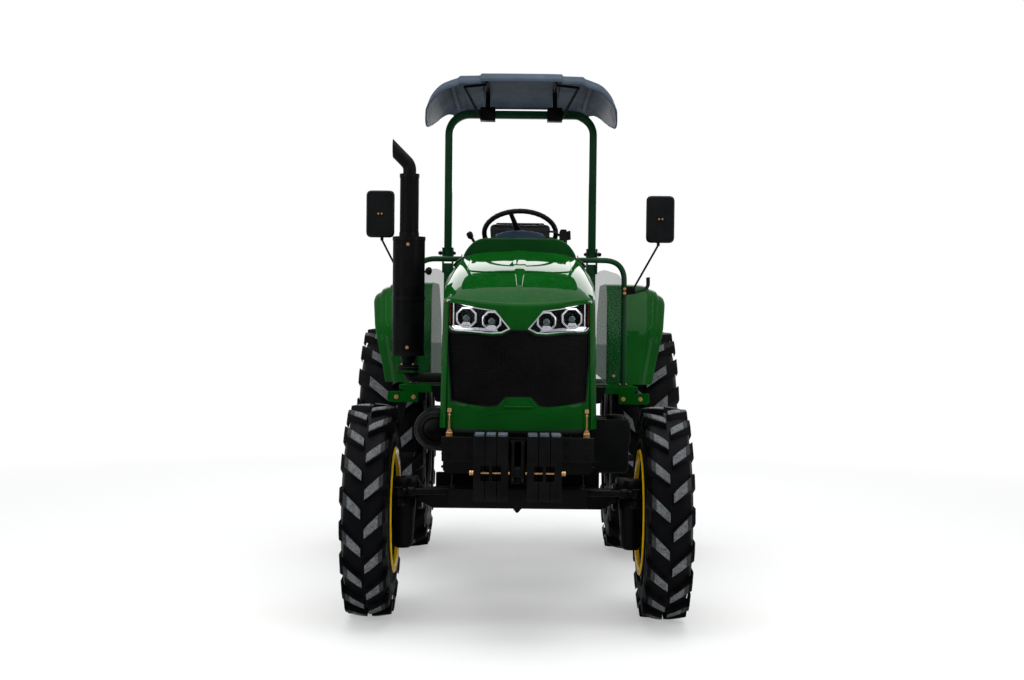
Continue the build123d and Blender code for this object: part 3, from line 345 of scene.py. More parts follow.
finishes = {name: paint(name) for name in paintWork}
finishes.update(
    tyre=rubber("tyre"),
    cast=castIron("cast", (18, 19, 21), 0.5),
    black_cast=castIron("black_cast", (5, 5, 6), 0.42),
    black_steel=castIron("black_steel", (7, 7, 8), 0.36, 0.08),
    steel=metal("steel", (60, 61, 64), 0.4),
    grille=plastic("grille", (6, 6, 7), 0.5),
    canopy=plastic("canopy", (58, 66, 76), 0.5, 700, 0.08, 0.01),
    vinyl=leather("vinyl"),
    black_plastic=plastic("black_plastic", (8, 9, 10), 0.42),
    lamp=metal("lamp", (190, 192, 196), 0.12, (150, 150, 154), (1, 1, 1)),
    zinc=metal("zinc", (164, 126, 88), 0.34, (120, 78, 62)),
    clear=glass("clear", (22, 62, 38), 0.3),
    clearLens=glass("clearLens", (60, 66, 70), 0.04),
    lens=metal("lens", (70, 78, 80), 0.15, (120, 116, 70), (1, 1, 1)),
    amber=plastic("amber", (96, 40, 16), 0.2, 400, 0.1),
    redLens=plastic("redLens", (130, 12, 10), 0.2, 400, 0.1),
    # near-black plastic for the lamp pans and bowls, also used as painted shade behind the grille and in the side
    # vents
    darkInside=plastic("darkInside", (4, 4, 5), 0.5),
    meshBlack=plastic("meshBlack", (6, 6, 7), 0.5),
    paleCast=castIron("paleCast", (72, 78, 86), 0.5, 0.2),
    exhaust=castIron("exhaust", (8, 8, 9), 0.42, 0.12),
    seatShell=plastic("seatShell", (9, 10, 12), 0.5, 900, 0.2, 0.02),
    domeBlue=plastic("domeBlue", (22, 31, 42), 0.6, 700, 0.1, 0.005),
    mat=plastic("mat", (26, 27, 28), 0.7, 260, 0.5),
    mirrorGlass=metal("mirrorGlass", (190, 194, 198), 0.04, (170, 172, 176), (1, 1, 1)),
)
print("finishes made")


# building kit, all in metres
def smoothPath(points, radii, closed=False, steps=6):
    # rounds the corners of a path in the plane or in space
    points = [Vector(p) for p in points]
    result, count = [], len(points)
    for k, here in enumerate(points):
        radius = radii[k] if isinstance(radii, (list, tuple)) else radii
        if radius <= 0 or (not closed and k in (0, count - 1)):
            result.append(here)
            continue
        before, after = points[k - 1] - here, points[(k + 1) % count] - here
        reach = min(radius / math.tan(before.angle(after) / 2), before.length * 0.49, after.length * 0.49)
        start, end = here + before.normalized() * reach, here + after.normalized() * reach
        for n in range(steps + 1):
            t = n / steps
            result.append(start * (1 - t) ** 2 + here * 2 * t * (1 - t) + end * t * t)
    return result


def rounded(corners, steps=5):
    # a closed outline; each corner is (a, b) or (a, b, radius)
    return smoothPath([c[:2] for c in corners], [c[2] if len(c) > 2 else 0 for c in corners], True, steps)


def evenOutline(half):
    # a closed outline from its half with a >= 0
    other = [(-c[0], *c[1:]) for c in reversed(half) if abs(c[0]) > 1e-6]
    return list(half) + other


def flipped(side, corners):
    # corners with their first value on the side given by 1 or -1
    return [(side * c[0], *c[1:]) for c in corners]


def box4(a0, a1, b0, b1, radius=0):
    return [(a0, b0, radius), (a1, b0, radius), (a1, b1, radius), (a0, b1, radius)]


def spokes(count, start=0.0):
    return [start + 2 * math.pi * k / count for k in range(count)]


def meshOf(work, name):
    mesh = bpy.data.meshes.new(name)
    work.to_mesh(mesh)
    work.free()
    return mesh


def faceUp(work):
    # turns the faces of an open shell so that its top looks up
    bmesh.ops.recalc_face_normals(work, faces=work.faces[:])
    if sum(face.normal.z * face.calc_area() for face in work.faces) < 0:
        bmesh.ops.reverse_faces(work, faces=work.faces[:])


class Shape:
    # gathers simple solids in one mesh
    def __init__(self):
        self.work = bmesh.new()

    def skin(self, rings, closed=True, caps=True, weld=False):
        made = [[self.work.verts.new(p) for p in ring] for ring in rings]
        count = len(made[0])
        for first, second in zip(made, made[1:]):
            for k in range(count if closed else count - 1):
                j = (k + 1) % count
                self.work.faces.new((first[k], first[j], second[j], second[k]))
        if caps:
            self.work.faces.new(list(reversed(made[0])))
            self.work.faces.new(made[-1])
        if weld:
            bmesh.ops.remove_doubles(self.work, verts=[v for ring in made for v in ring], dist=mergeReach)
        return self

    def slab(self, corners, low, high, axis="y"):
        place = "xyz".index(axis)
        flat = rounded(corners)
        return self.skin([[(*p[:2][:place], c, *p[:2][place:]) for p in flat] for c in (low, high)])

    def block(self, x0, x1, y0, y1, z0, z1):
        return self.slab(box4(x0, x1, y0, y1), z0, z1, "z")

    def lathe(self, profile, centre, axis=(1, 0, 0), count=40, loop=False):
        # profile rows are (distance along the axis, radius)
        along = Vector(axis).normalized()
        side = along.orthogonal().normalized()
        other = along.cross(side)
        ways = [side * math.cos(t) + other * math.sin(t) for t in spokes(count)]
        rows = list(profile) + ([profile[0]] if loop else [])
        rings = [[Vector(centre) + along * a + way * max(r, 1e-6) for way in ways] for a, r in rows]
        return self.skin(rings, caps=not loop and profile[0][1] > 1e-4 and profile[-1][1] > 1e-4, weld=True)

    def tube(self, path, radius, sides=12, squash=1.0):
        path = [Vector(p) for p in path]
        along = (path[1] - path[0]).normalized()
        side = along.orthogonal().normalized()
        rings = []
        for k, here in enumerate(path):
            ahead = (path[min(k + 1, len(path) - 1)] - path[max(k - 1, 0)]).normalized()
            side = (side - ahead * side.dot(ahead)).normalized()
            other = ahead.cross(side)
            size = radius[k] if isinstance(radius, (list, tuple)) else radius
            rings.append([here + (side * math.cos(t) + other * math.sin(t) * squash) * size for t in spokes(sides)])
        return self.skin(rings)

    def bent(self, points, radius, bend, sides=12):
        return self.tube(smoothPath(points, bend, False, 7), radius, sides)

    def both(self):
        # the same again on the other side
        made = bmesh.ops.duplicate(self.work, geom=self.work.verts[:] + self.work.edges[:]
            + self.work.faces[:])["geom"]
        for part in made:
            if isinstance(part, bmesh.types.BMVert):
                part.co.x = -part.co.x
        bmesh.ops.reverse_faces(self.work, faces=[part for part in made if isinstance(part, bmesh.types.BMFace)])
        return self

    def done(self, name, finish, body="chassis", upward=False, **more):
        bmesh.ops.recalc_face_normals(self.work, faces=self.work.faces[:])
        if upward:
            faceUp(self.work)
        return dress(meshOf(self.work, name), name, finish, body, **more)


def dress(mesh, name, finish, body="chassis", bevel=0.0, steps=2, sharp=34, stands=(), thick=0.0):
    # makes a piece of a mesh: finish, wall, broken edges, body and the nodes it stands for
    piece = placed(name, mesh)
    mesh.materials.clear()
    mesh.materials.append(finishes[finish])
    mesh.polygons.foreach_set("use_smooth", [True] * len(mesh.polygons))
    if thick:
        wall = piece.modifiers.new("wall", "SOLIDIFY")
        wall.thickness, wall.offset = thick, -1
        mesh = plainMesh(piece)
        piece.modifiers.clear()
        piece.data = mesh
    if not bevel:
        mesh.set_sharp_from_angle(angle=math.radians(sharp))
    else:
        edge = piece.modifiers.new("edge", "BEVEL")
        edge.width, edge.segments, edge.limit_method = bevel, steps, "ANGLE"
        edge.angle_limit = math.radians(sharp)
        edge.use_clamp_overlap, edge.harden_normals = False, True
    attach(piece, body)
    for node in stands:
        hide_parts(node)
    return piece


def soften(node, finish, body, bevel, steps=2, sharp=34):
    # a copy of a solid from the frame with its edges broken, which stands for it
    work = bmesh.new()
    work.from_mesh(frame["nodes"][node].data)
    bmesh.ops.remove_doubles(work, verts=work.verts[:], dist=mergeReach)
    bmesh.ops.dissolve_limit(work, angle_limit=math.radians(0.8), verts=work.verts[:], edges=work.edges[:])
    mesh = meshOf(work, node + "_soft")
    return dress(mesh, node + "_body", finish, body, bevel=bevel, steps=steps, sharp=sharp, stands=[node])


class Weave:
    # a Geometry Nodes tree with named inputs
    def __init__(self, name, **inputs):
        self.tree = bpy.data.node_groups.new(name, "GeometryNodeTree")
        self.tree.interface.new_socket("Geometry", in_out="INPUT", socket_type="NodeSocketGeometry")
        for key, (kind, value) in inputs.items():
            socket = self.tree.interface.new_socket(key, in_out="INPUT", socket_type="NodeSocket" + kind)
            if value is not None:
                socket.default_value = value
        self.tree.interface.new_socket("Finish", in_out="INPUT", socket_type="NodeSocketMaterial")
        self.tree.interface.new_socket("Geometry", in_out="OUTPUT", socket_type="NodeSocketGeometry")
        self.entry = self.tree.nodes.new("NodeGroupInput")

    def want(self, name):
        return self.entry.outputs[name]

    def add(self, kind, settings=None, feeds=None):
        return addNode(self.tree, kind, settings, feeds).outputs[0]

    def end(self, geometry):
        whole = self.add("GeometryNodeRealizeInstances", None, {0: geometry})
        painted = self.add("GeometryNodeSetMaterial", None, {"Geometry": whole, "Material": self.want("Finish")})
        addNode(self.tree, "NodeGroupOutput", None, {0: painted})
        return self

    def grow(self, mesh, finish, **values):
        # runs the tree on a mesh and hands back a plain mesh
        piece = placed("seed", mesh)
        modifier = piece.modifiers.new("weave", "NODES")
        modifier.node_group = self.tree
        values["Finish"] = finishes[finish]
        for item in self.tree.interface.items_tree:
            if item.item_type == "SOCKET" and item.in_out == "INPUT" and item.name in values:
                modifier[item.identifier] = values[item.name]
        ready = plainMesh(piece)
        bpy.data.objects.remove(piece)
        return ready


def makeRingTree():
    # repeats a mesh round an axis through a centre
    w = Weave("ringOfCopies", Count=("Int", 12), Centre=("Vector", None), Axis=("Vector", None),
        Start=("Float", 0.0))
    away = w.add("ShaderNodeVectorMath", {"operation": "SCALE"}, {0: w.want("Centre"), "Scale": -1.0})
    seed = w.add("GeometryNodeTransform", None, {"Geometry": w.want("Geometry"), "Translation": away})
    line = w.add("GeometryNodeMeshLine", None, {"Count": w.want("Count"), "Offset": (0, 0, 0)})
    share = w.add("ShaderNodeMath", {"operation": "DIVIDE"}, {0: 2 * math.pi, 1: w.want("Count")})
    angle = w.add("ShaderNodeMath", {"operation": "MULTIPLY_ADD"},
        {0: w.add("GeometryNodeInputIndex"), 1: share, 2: w.want("Start")})
    turn = w.add("FunctionNodeAxisAngleToRotation", None, {"Axis": w.want("Axis"), "Angle": angle})
    copies = w.add("GeometryNodeInstanceOnPoints", None, {"Points": line, "Instance": seed, "Rotation": turn})
    back = w.add("GeometryNodeTransform", None, {"Geometry": copies, "Translation": w.want("Centre")})
    return w.end(back)


def makeBoltTree():
    # a hexagon head, washer and stud end on each point, looking along its own direction
    w = Weave("boltHeads", Head=("Float", 0.62), Washer=("Float", 0.86))
    join = w.tree.nodes.new("GeometryNodeJoinGeometry")
    for sides, radius, depth, lift in ((6, 0.56, w.want("Head"), 0.4), (16, w.want("Washer"), 0.16, 0.04),
        (10, 0.3, 0.5, 0.62)):
        part = w.add("GeometryNodeMeshCylinder", None, {"Vertices": sides, "Radius": radius, "Depth": depth})
        part = w.add("GeometryNodeTransform", None, {"Geometry": part, "Translation": (0, 0, lift)})
        w.tree.links.new(part, join.inputs[0])
    aim = w.add("GeometryNodeInputNamedAttribute", {"data_type": "FLOAT_VECTOR"}, {"Name": "aim"})
    size = w.add("GeometryNodeInputNamedAttribute", {"data_type": "FLOAT"}, {"Name": "across"})
    turn = w.add("FunctionNodeAlignRotationToVector", {"axis": "Z"}, {"Vector": aim})
    feeds = {"Points": w.want("Geometry"), "Instance": join.outputs[0], "Rotation": turn, "Scale": size}
    return w.end(w.add("GeometryNodeInstanceOnPoints", None, feeds))


ringTree = makeRingTree()
boltTree = makeBoltTree()


def bolts(name, rows, body="chassis", finish="zinc"):
    # rows are (x, y, z, direction, size across the head)
    aims = {"x": (1, 0, 0), "-x": (-1, 0, 0), "y": (0, 1, 0), "-y": (0, -1, 0), "z": (0, 0, 1), "-z": (0, 0, -1)}
    mesh = bpy.data.meshes.new(name)
    mesh.from_pydata([row[:3] for row in rows], [], [])
    mesh.attributes.new("aim", "FLOAT_VECTOR", "POINT")
    mesh.attributes.new("across", "FLOAT", "POINT")
    aim, across = mesh.attributes["aim"], mesh.attributes["across"]
    for k, row in enumerate(rows):
        aim.data[k].vector = aims[row[3]] if isinstance(row[3], str) else row[3]
        across.data[k].value = row[4]
    return dress(boltTree.grow(mesh, finish), name, finish, body, sharp=30)


def twoSided(rows):
    turned = {"x": "-x", "-x": "x"}
    return list(rows) + [(-x, y, z, turned.get(way, way), size) for x, y, z, way, size in rows]


print("kit ready")

# tyres and wheels
treadWork = {
    # lugs: height, bar width, count on a side, lean over the half width, drop at the shoulder, first angle
    "front": {"height": 0.03, "bar": 0.047, "lugs": 18, "lean": 0.8, "drop": 0.012, "start": 0.1},
    "rear": {"height": 0.036, "bar": 0.058, "lugs": 20, "lean": 0.85, "drop": 0.02, "start": 0.05},
}


def carcassProfile(width, outer, flange, rim):
    # half of the section from the bead to the middle, as (across, radius)
    depth = outer - flange
    half = width / 2
    rows = [
        (rim / 2 - 0.012, flange - 0.016),
        (rim / 2 + 0.001, flange + 0.002),
        (rim / 2 + 0.004, flange + 0.014),
        (half - 0.016, flange + depth * 0.3),
        (half - 0.005, flange + depth * 0.48),
        (half - 0.006, flange + depth * 0.62),
        (half - 0.018, flange + depth * 0.8),
        (half * 0.8, flange + depth * 0.94),
        (half * 0.52, outer - 0.003),
        (0.0, outer),
    ]
    flat = smoothPath([Vector(r) for r in rows], [0, 0.006, 0.006] + [0.05] * 6 + [0], False, 4)
    return [(p[0], p[1]) for p in flat]


def lugRings(width, tread, outer, side, shift):
    # sections of one bar lug from beside the middle line over the shoulder and down the side
    half, height, bar = width / 2, tread["height"], tread["bar"]
    stations = []
    for t in (0.0, 0.2, 0.42, 0.64, 0.84, 1.0):
        across = 0.008 + (half - 0.016) * t
        base = outer - height - 0.006 - 0.018 * t ** 3
        top = outer - tread["drop"] * t ** 1.6
        stations.append((across, base, top, t * tread["lean"] * half / outer))
    across, base, top, turn = stations[-1]
    stations.append((half - 0.001, outer - height - 0.052, outer - height - 0.03, turn + 0.014))
    rings = []
    for k, (across, base, top, turn) in enumerate(stations):
        last = k == len(stations) - 1
        wide = bar * (1.0 + 0.35 * (k / (len(stations) - 1)) ** 2)
        slope = ((base, wide * 0.72), (top - 0.004, wide * 0.53), (top, wide * 0.44))
        ring = []
        for radius, reach in slope + tuple((radius, -reach) for radius, reach in reversed(slope)):
            angle = shift + turn + reach * (1.0 if k else 0.86) / radius
            off = across
            if last and radius < top - 0.01:
                off -= 0.01
            elif k == 0 and radius == base:
                off -= 0.004
            ring.append((side * off, -radius * math.cos(angle), radius * math.sin(angle)))
        rings.append(ring)
    return rings


def makeTyre(node, body, key):
    # a carcass with two ribs on each wall, and lugs repeated round it, marked where they are worn
    tread = treadWork[key]
    low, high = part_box(node)
    centre, outer, width = (low + high) / 2, (high.z - low.z) / 2, high.x - low.x
    rimLow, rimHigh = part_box(node.replace("tyre", "wheel"))
    flange = (rimHigh.z - rimLow.z) / 2 - 0.022
    rim = min(rimHigh.x - rimLow.x, width - 0.04) if key == "rear" else 0.206
    shape = Shape()
    half = carcassProfile(width, outer - tread["height"], flange, rim)
    profile = [(-a, r) for a, r in half] + [(a, r) for a, r in reversed(half[:-1])]
    inner = [(a * 0.86, max(r - 0.014, flange - 0.018)) for a, r in profile]
    shape.lathe(profile + list(reversed(inner)), centre, (1, 0, 0), 96, loop=True)
    for side in (-1, 1):
        for share in (0.3, 0.36):
            radius = flange + (outer - tread["height"] - flange) * share
            across = side * (width / 2 - 0.01)
            ring = [(across - 0.006, radius - 0.004), (across + side * 0.0015 + 0.001, radius),
                (across - 0.006, radius + 0.004)]
            shape.lathe(ring + [(across - side * 0.012, radius)], centre, (1, 0, 0), 96, loop=True)
    lug = Shape()
    rubbed = lug.work.faces.layers.float.new("rubbed")
    for side, shift in ((1, 0.0), (-1, math.pi / tread["lugs"])):
        lug.skin(lugRings(width, tread, outer, side, shift))
    bmesh.ops.recalc_face_normals(lug.work, faces=lug.work.faces[:])
    for face in lug.work.faces:
        spot = face.calc_center_median()
        radius = math.hypot(spot.y, spot.z)
        if radius > outer - 0.01 and abs(spot.x) < width * 0.44:
            face[rubbed] = 1.0 if abs(spot.x) < width * 0.27 else 0.25
    for vert in lug.work.verts:
        vert.co += centre
    lugs = ringTree.grow(meshOf(lug.work, "lug"), "tyre", Count=tread["lugs"], Centre=centre, Axis=(1, 0, 0),
        Start=tread["start"])
    mesh = shape.done(node + "_rubber", "tyre", body, stands=[node]).data
    joined = bmesh.new()
    joined.from_mesh(mesh)
    joined.from_mesh(lugs)
    joined.to_mesh(mesh)
    joined.free()
    mesh.polygons.foreach_set("material_index", [0] * len(mesh.polygons))
    mesh.polygons.foreach_set("use_smooth", [True] * len(mesh.polygons))
    mesh.set_sharp_from_angle(angle=math.radians(28))


def makeFlange(node, body):
    # the front rim's flange on the inner side, which stands out from the bead
    low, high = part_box(node)
    side, flange = 1 if low.x > 0 else -1, (high.z - low.z) / 2
    place = middle(node.replace("wheel", "tyre")) - Vector((side * 0.108, 0, 0))
    rows = ((-0.006, -0.01), (-0.006, -0.003), (0.0, 0.002), (0.006, -0.003), (0.01, -0.022), (0.03, -0.03),
        (0.03, -0.036), (0.002, -0.03))
    ring = Shape().lathe([(a * side, flange + r) for a, r in rows], place, (1, 0, 0), 72, loop=True)
    ring.done(node + "_flange", "rim", body, sharp=40)


for corner in ("left", "right"):
    for key in ("front", "rear"):
        makeTyre("tyre_" + key + "_" + corner, key + "_wheel_" + corner, key)
    for key in ("front", "rear"):
        soften("wheel_" + key + "_" + corner, "rim", key + "_wheel_" + corner, 0.0022, 2, 30)
        if key == "front":
            makeFlange("wheel_front_" + corner, "front_wheel_" + corner)
print("tyres and wheels")


# hood, grille and lamps; places are measured from the front axle
hoodWork = {
    "front": -0.556,
    # rows of place along, top, shoulder half width, bottom half width and drop of the shoulder
    "sections": ((-0.575, 1.464, 0.332, 0.346, 0.04), (-0.33, 1.556, 0.342, 0.352, 0.066),
        (0.12, 1.656, 0.354, 0.358, 0.1), (0.866, 1.752, 0.357, 0.364, 0.122)),
    # rows of place along and height
    "lowerEdge": ((-0.6, 0.92), (-0.19, 0.92), (-0.06, 1.01), (0.25, 1.13), (0.866, 1.17)),
    "rear": 0.866,
    "cornerX": 0.3395,
    "frontHalf": 0.316,
    "browRadius": 0.022,
    "wall": 0.004,
    "panelHalf": 0.25,
    "panelRise": 0.0045,
}
lampOutline = ((0.038, 1.365), (0.076, 1.346, 0.004), (0.118, 1.343, 0.01), (0.296, 1.356, 0.014), (0.326, 1.382),
    (0.324, 1.496, 0.006), (0.21, 1.462, 0.12), (0.104, 1.446, 0.012))
grilleOutline = evenOutline(((0.0, 1.066), (0.054, 1.066, 0.008), (0.092, 1.026, 0.012), (0.13, 1.022, 0.06),
        (0.302, 1.041, 0.006), (0.325, 1.372), (0.297, 1.35, 0.014), (0.118, 1.337, 0.01), (0.075, 1.34, 0.004),
        (0.037, 1.361), (0.0, 1.361)))


def hoodAt(along):
    # top, shoulder half width, bottom half width and shoulder drop at a place along the hood
    rows = hoodWork["sections"]
    along = min(max(along, rows[0][0]), rows[-1][0])
    k = next(k for k in range(len(rows) - 1) if along <= rows[k + 1][0])
    first, second = rows[k], rows[k + 1]
    before, after = rows[max(k - 1, 0)], rows[min(k + 2, len(rows) - 1)]
    length = second[0] - first[0]
    t = (along - first[0]) / length
    values = []
    for n in range(1, 5):
        slopeIn = (second[n] - before[n]) / (second[0] - before[0]) * length
        slopeOut = (after[n] - first[n]) / (after[0] - first[0]) * length
        start = (2 * t ** 3 - 3 * t ** 2 + 1) * first[n] + (t ** 3 - 2 * t ** 2 + t) * slopeIn
        values.append(start + (3 * t ** 2 - 2 * t ** 3) * second[n] + (t ** 3 - t ** 2) * slopeOut)
    return values


def hoodTop(x, along):
    # height of the hood's top at a place in plan
    top, shoulder, _, drop = hoodAt(along)
    share = min(abs(x) / shoulder, 1.0)
    return top - drop * (0.2 * share ** 2 + 0.8 * (1 - (1 - share ** 6.5) ** 0.55))


def hoodFront(x):
    # how far the bowed front lies from the axle
    return -0.0685 - math.sqrt(max(0.4875 ** 2 - x * x, 1e-6)) + 15.1 * max(0.0, abs(x) - 0.3) ** 2


def lowerEdge(along):
    # height of the hood's lower edge, eased from place to place
    rows = hoodWork["lowerEdge"]
    for first, second in zip(rows, rows[1:]):
        if along <= second[0]:
            t = (along - first[0]) / (second[0] - first[0])
            t = t * t * (3 - 2 * t) * 0.5 + t * 0.5
            return first[1] + (second[1] - first[1]) * t
    return rows[-1][1]


def inside(point, outline):
    # whether a point lies in a closed outline
    x, y = point
    hit = False
    for a, b in zip(outline, outline[1:] + outline[:1]):
        if (a[1] > y) != (b[1] > y) and x < (b[0] - a[0]) * (y - a[1]) / (b[1] - a[1]) + a[0]:
            hit = not hit
    return hit


def fillRegion(outer, holes, step):
    # triangles of a flat region with holes, with even points inside
    def filled(spot):
        return inside(spot, outer) and not any(inside(spot, hole) for hole in holes)

    points, edges = [], []
    for loop in [outer] + holes:
        start = len(points)
        points += [Vector((p[0], p[1])) for p in loop]
        edges += [(start + k, start + (k + 1) % len(loop)) for k in range(len(loop))]
    lowX, highX = min(p[0] for p in outer), max(p[0] for p in outer)
    lowY, highY = min(p[1] for p in outer), max(p[1] for p in outer)
    border = list(points)
    for a in range(1, int((highX - lowX) / step)):
        for b in range(1, int((highY - lowY) / step)):
            spot = Vector((lowX + a * step, lowY + b * step))
            if filled(spot) and min((spot - p).length for p in border) > step * 0.55:
                points.append(spot)
    found = delaunay_2d_cdt(points, edges, [], 0, 1e-6)
    verts = found[0]
    return verts, [face for face in found[2] if filled(sum((verts[k] for k in face), Vector((0, 0))) / len(face))]


def hoodColumns():
    # the plan outline from the left rear corner round the front to the right rear corner
    corner = hoodWork["cornerX"]
    sideStart = hoodFront(corner)
    flank = [(None, sideStart + (hoodWork["rear"] - sideStart) * k / 34) for k in range(1, 35)]
    front = [corner * math.sin(math.pi / 2 * k / 64) for k in range(64, -65, -1)]
    return flank[::-1] + [(x, hoodFront(x)) for x in front] + flank


def hoodWall(x, along, side, z, zEdge):
    # where the hood's side stands at a height, across the tractor
    _, shoulder, bottom, _ = hoodAt(along)
    base = x if x is not None else side * shoulder
    grow = 1 + (bottom / shoulder - 1) * min(max((zEdge - z) / (zEdge - 0.92), 0.0), 1.0)
    return base * grow


def makeHoodShell():
    # columns of points from the lower edge over the brow to the middle line, and a filled front
    columns = hoodColumns()
    work = bmesh.new()
    spineFront = hoodWork["front"] + 0.16
    grid = []
    reach = hoodWork["browRadius"]
    for n, (x, along) in enumerate(columns):
        side = 1 if n < len(columns) / 2 else -1
        shoulder = hoodAt(along)[1]
        edgeX = x if x is not None else side * shoulder
        spine = Vector((0.0, along if x is None else spineFront + (along - hoodWork["front"]) * 0.9))
        start = Vector((edgeX, along))
        inward = spine - start
        length = inward.length
        inward.normalize()
        sideways = min(max((abs(edgeX) - 0.24) / 0.1, 0.0), 1.0)
        fillet = reach * (1 - 0.55 * sideways) if x is not None else reach * 0.45
        edgeBase = hoodTop(start.x * 0.985, start.y)
        zEdge = edgeBase - fillet
        column = []
        zLow = lowerEdge(along)
        for k in range(14):
            z = zLow + (zEdge - zLow) * k / 14
            column.append((hoodWall(x, along, side, z, zEdge), along, z))
        for k in range(7):
            angle = math.radians(15 * k)
            away = fillet * (1 - math.cos(angle))
            spot = start + inward * away
            lift = fillet * (1 - math.sin(angle))
            base = hoodTop(spot.x if x is not None else min(abs(spot.x), shoulder * 0.985) * side, spot.y)
            column.append((spot.x, spot.y, min(base, edgeBase + away * 0.6) - lift if k < 6 else base))
        for k in range(1, 15):
            away = fillet + (length - fillet) * (k / 14) ** 0.9
            spot = start + inward * away
            if abs(spot.x) < 1e-4:
                spot.x = 0.0
            column.append((spot.x, spot.y, hoodTop(spot.x, spot.y)))
        grid.append(column)
    verts = [[work.verts.new((p[0], frontY + p[1], p[2])) for p in column] for column in grid]
    inner = [n for n, (x, _) in enumerate(columns) if x is not None and abs(x) < hoodWork["frontHalf"]]
    for n in range(len(verts) - 1):
        start = 14 if n in inner and n + 1 in inner else 0
        for k in range(start, len(verts[0]) - 1):
            work.faces.new((verts[n][k], verts[n][k + 1], verts[n + 1][k + 1], verts[n + 1][k]))
    # the front wall is filled between its edges and the openings
    first, last = inner[0], inner[-1]
    loop = [(grid[first][k][0], grid[first][k][2]) for k in range(15)]
    loop += [(grid[n][14][0], grid[n][14][2]) for n in inner[1:-1]]
    loop += [(grid[last][k][0], grid[last][k][2]) for k in range(14, -1, -1)]
    loop += [(grid[n][0][0], grid[n][0][2]) for n in reversed(inner[1:-1])]
    holes = [rounded(grilleOutline)] + [flipped(side, rounded(lampOutline)) for side in (1, -1)]
    flat, faces = fillRegion(loop, holes, 0.014)
    wall = [work.verts.new((p.x, frontY + hoodFront(p.x), p.y)) for p in flat]
    for face in faces:
        work.faces.new([wall[k] for k in face])
    bmesh.ops.remove_doubles(work, verts=work.verts[:], dist=2e-4)
    faceUp(work)
    dress(meshOf(work, "hood_shell"), "hood_shell", "green", "hood_body", sharp=42, stands=["hood"],
        thick=hoodWork["wall"])


def makeHoodPanel():
    # the raised middle panel with a rounded front edge, and the spear down its middle
    half, rear, rise = hoodWork["panelHalf"], hoodWork["rear"] - 0.004, hoodWork["panelRise"]
    across = [math.sin(math.pi / 2 * k / 26) for k in range(-26, 27)]
    rings = []
    for row in range(45):
        ring = []
        for u in across:
            edge = 0.11 - 0.17 * max(0.0, 1 - abs(u) ** 2.6) ** (1 / 2.2)
            along = edge + (rear - edge) * row / 44
            ring.append((u * half, frontY + along, hoodTop(u * half, along) + rise))
        rings.append(ring)
    panel = Shape().skin(rings, closed=False, caps=False)
    panel.done("hood_centre_panel", "green", "hood_body", thick=0.0065, bevel=0.0022, steps=3, sharp=50,
        upward=True)
    ridge = []
    for k in range(37):
        t = k / 36
        along = -0.47 + (rear - 0.01 + 0.47) * t
        wide = 0.004 + 0.044 * t ** 0.7
        base = hoodTop(0, along) + rise * min(1, max(0, (along + 0.064) / 0.02))
        lift = 0.0045 * min(1, k / 6)
        half = [(-1.0, -0.003), (-1.0, 0.0), (-0.72, 0.75), (-0.3, 1.0)]
        ridge.append([(a * wide, frontY + along, base + (b * lift if b > 0 else b)) for a,
                b in half + flipped(-1, half[::-1])])
    Shape().skin(ridge).done("hood_ridge", "green", "hood_body", sharp=60)


def frontPatch(name, finish, outline, proud, thick, step=0.016, holes=(), sharp=40, bevel=0.0):
    # a plate that follows the bowed front; outline in (x, z)
    flat, faces = fillRegion(list(outline), list(holes), step)
    mesh = bpy.data.meshes.new(name)
    mesh.from_pydata([(p.x, frontY + hoodFront(p.x) - proud, p.y) for p in flat], [], [list(f) for f in faces])
    if sum(poly.normal.y for poly in mesh.polygons) > 0:
        mesh.flip_normals()
    return dress(mesh, name, finish, "hood_body", sharp=sharp, thick=thick, bevel=bevel)


def grown(outline, reach):
    # an outline pushed outwards, or inwards for a negative reach
    pts = [Vector(p[:2]) for p in outline]
    area = sum(a.x * b.y - b.x * a.y for a, b in zip(pts, pts[1:] + pts[:1]))
    sign = 1 if area > 0 else -1
    result = []
    for k, here in enumerate(pts):
        one, two = (here - pts[k - 1]), (pts[(k + 1) % len(pts)] - here)
        if one.length < 1e-6 or two.length < 1e-6:
            continue
        away = Vector((one.y, -one.x)).normalized() + Vector((two.y, -two.x)).normalized()
        away = away.normalized() / max(0.5, away.length / 2)
        result.append(here + away * reach * sign)
    return result


def grilleMesh():
    # crossing bars, cut to the opening and bowed with the front
    outline = rounded(grilleOutline)
    seed = bpy.data.meshes.new("bars")
    points, edges = [], []

    def keep(run):
        if len(run) > 1:
            edges.extend((len(points) + m, len(points) + m + 1) for m in range(len(run) - 1))
            points.extend(run)

    pitch, steps = 0.0085, 90
    spans = ((-0.33, 0.66), (1.015, 0.36))  # start and length across, then up
    for upright in (0, 1):
        (start, length), (freeStart, freeLength) = spans[1 - upright], spans[upright]
        for k in range(int(length / pitch)):
            fixed, run = start + pitch * k, []
            for n in range(steps + 1):
                free = freeStart + freeLength * n / steps
                spot = (fixed, free) if upright else (free, fixed)
                if inside(spot, outline):
                    run.append(spot)
                else:
                    keep(run)
                    run = []
            keep(run)
    seed.from_pydata([(x, frontY + hoodFront(x) + 0.004, z) for x, z in points], edges, [])
    w = Weave("barsOnEdges", Thickness=("Float", 0.0015), Sides=("Int", 3))
    curve = w.add("GeometryNodeMeshToCurve", None, {"Mesh": w.want("Geometry")})
    ring = w.add("GeometryNodeCurvePrimitiveCircle", None,
        {"Resolution": w.want("Sides"), "Radius": w.want("Thickness")})
    bars = w.end(w.add("GeometryNodeCurveToMesh", None, {"Curve": curve, "Profile Curve": ring}))
    dress(bars.grow(seed, "meshBlack"), "grille_mesh", "meshBlack", "hood_body", stands=["grille"])
    frontPatch("grille_frame", "meshBlack", outline, 0.0005, 0.006, holes=[grown(outline, -0.007)])
    # a near-black sheet behind the grille bars: painted shade in place of the dark inside of the hood
    frontPatch("grille_shade_sheet", "darkInside", outline, -0.016, 0.002, 0.03)


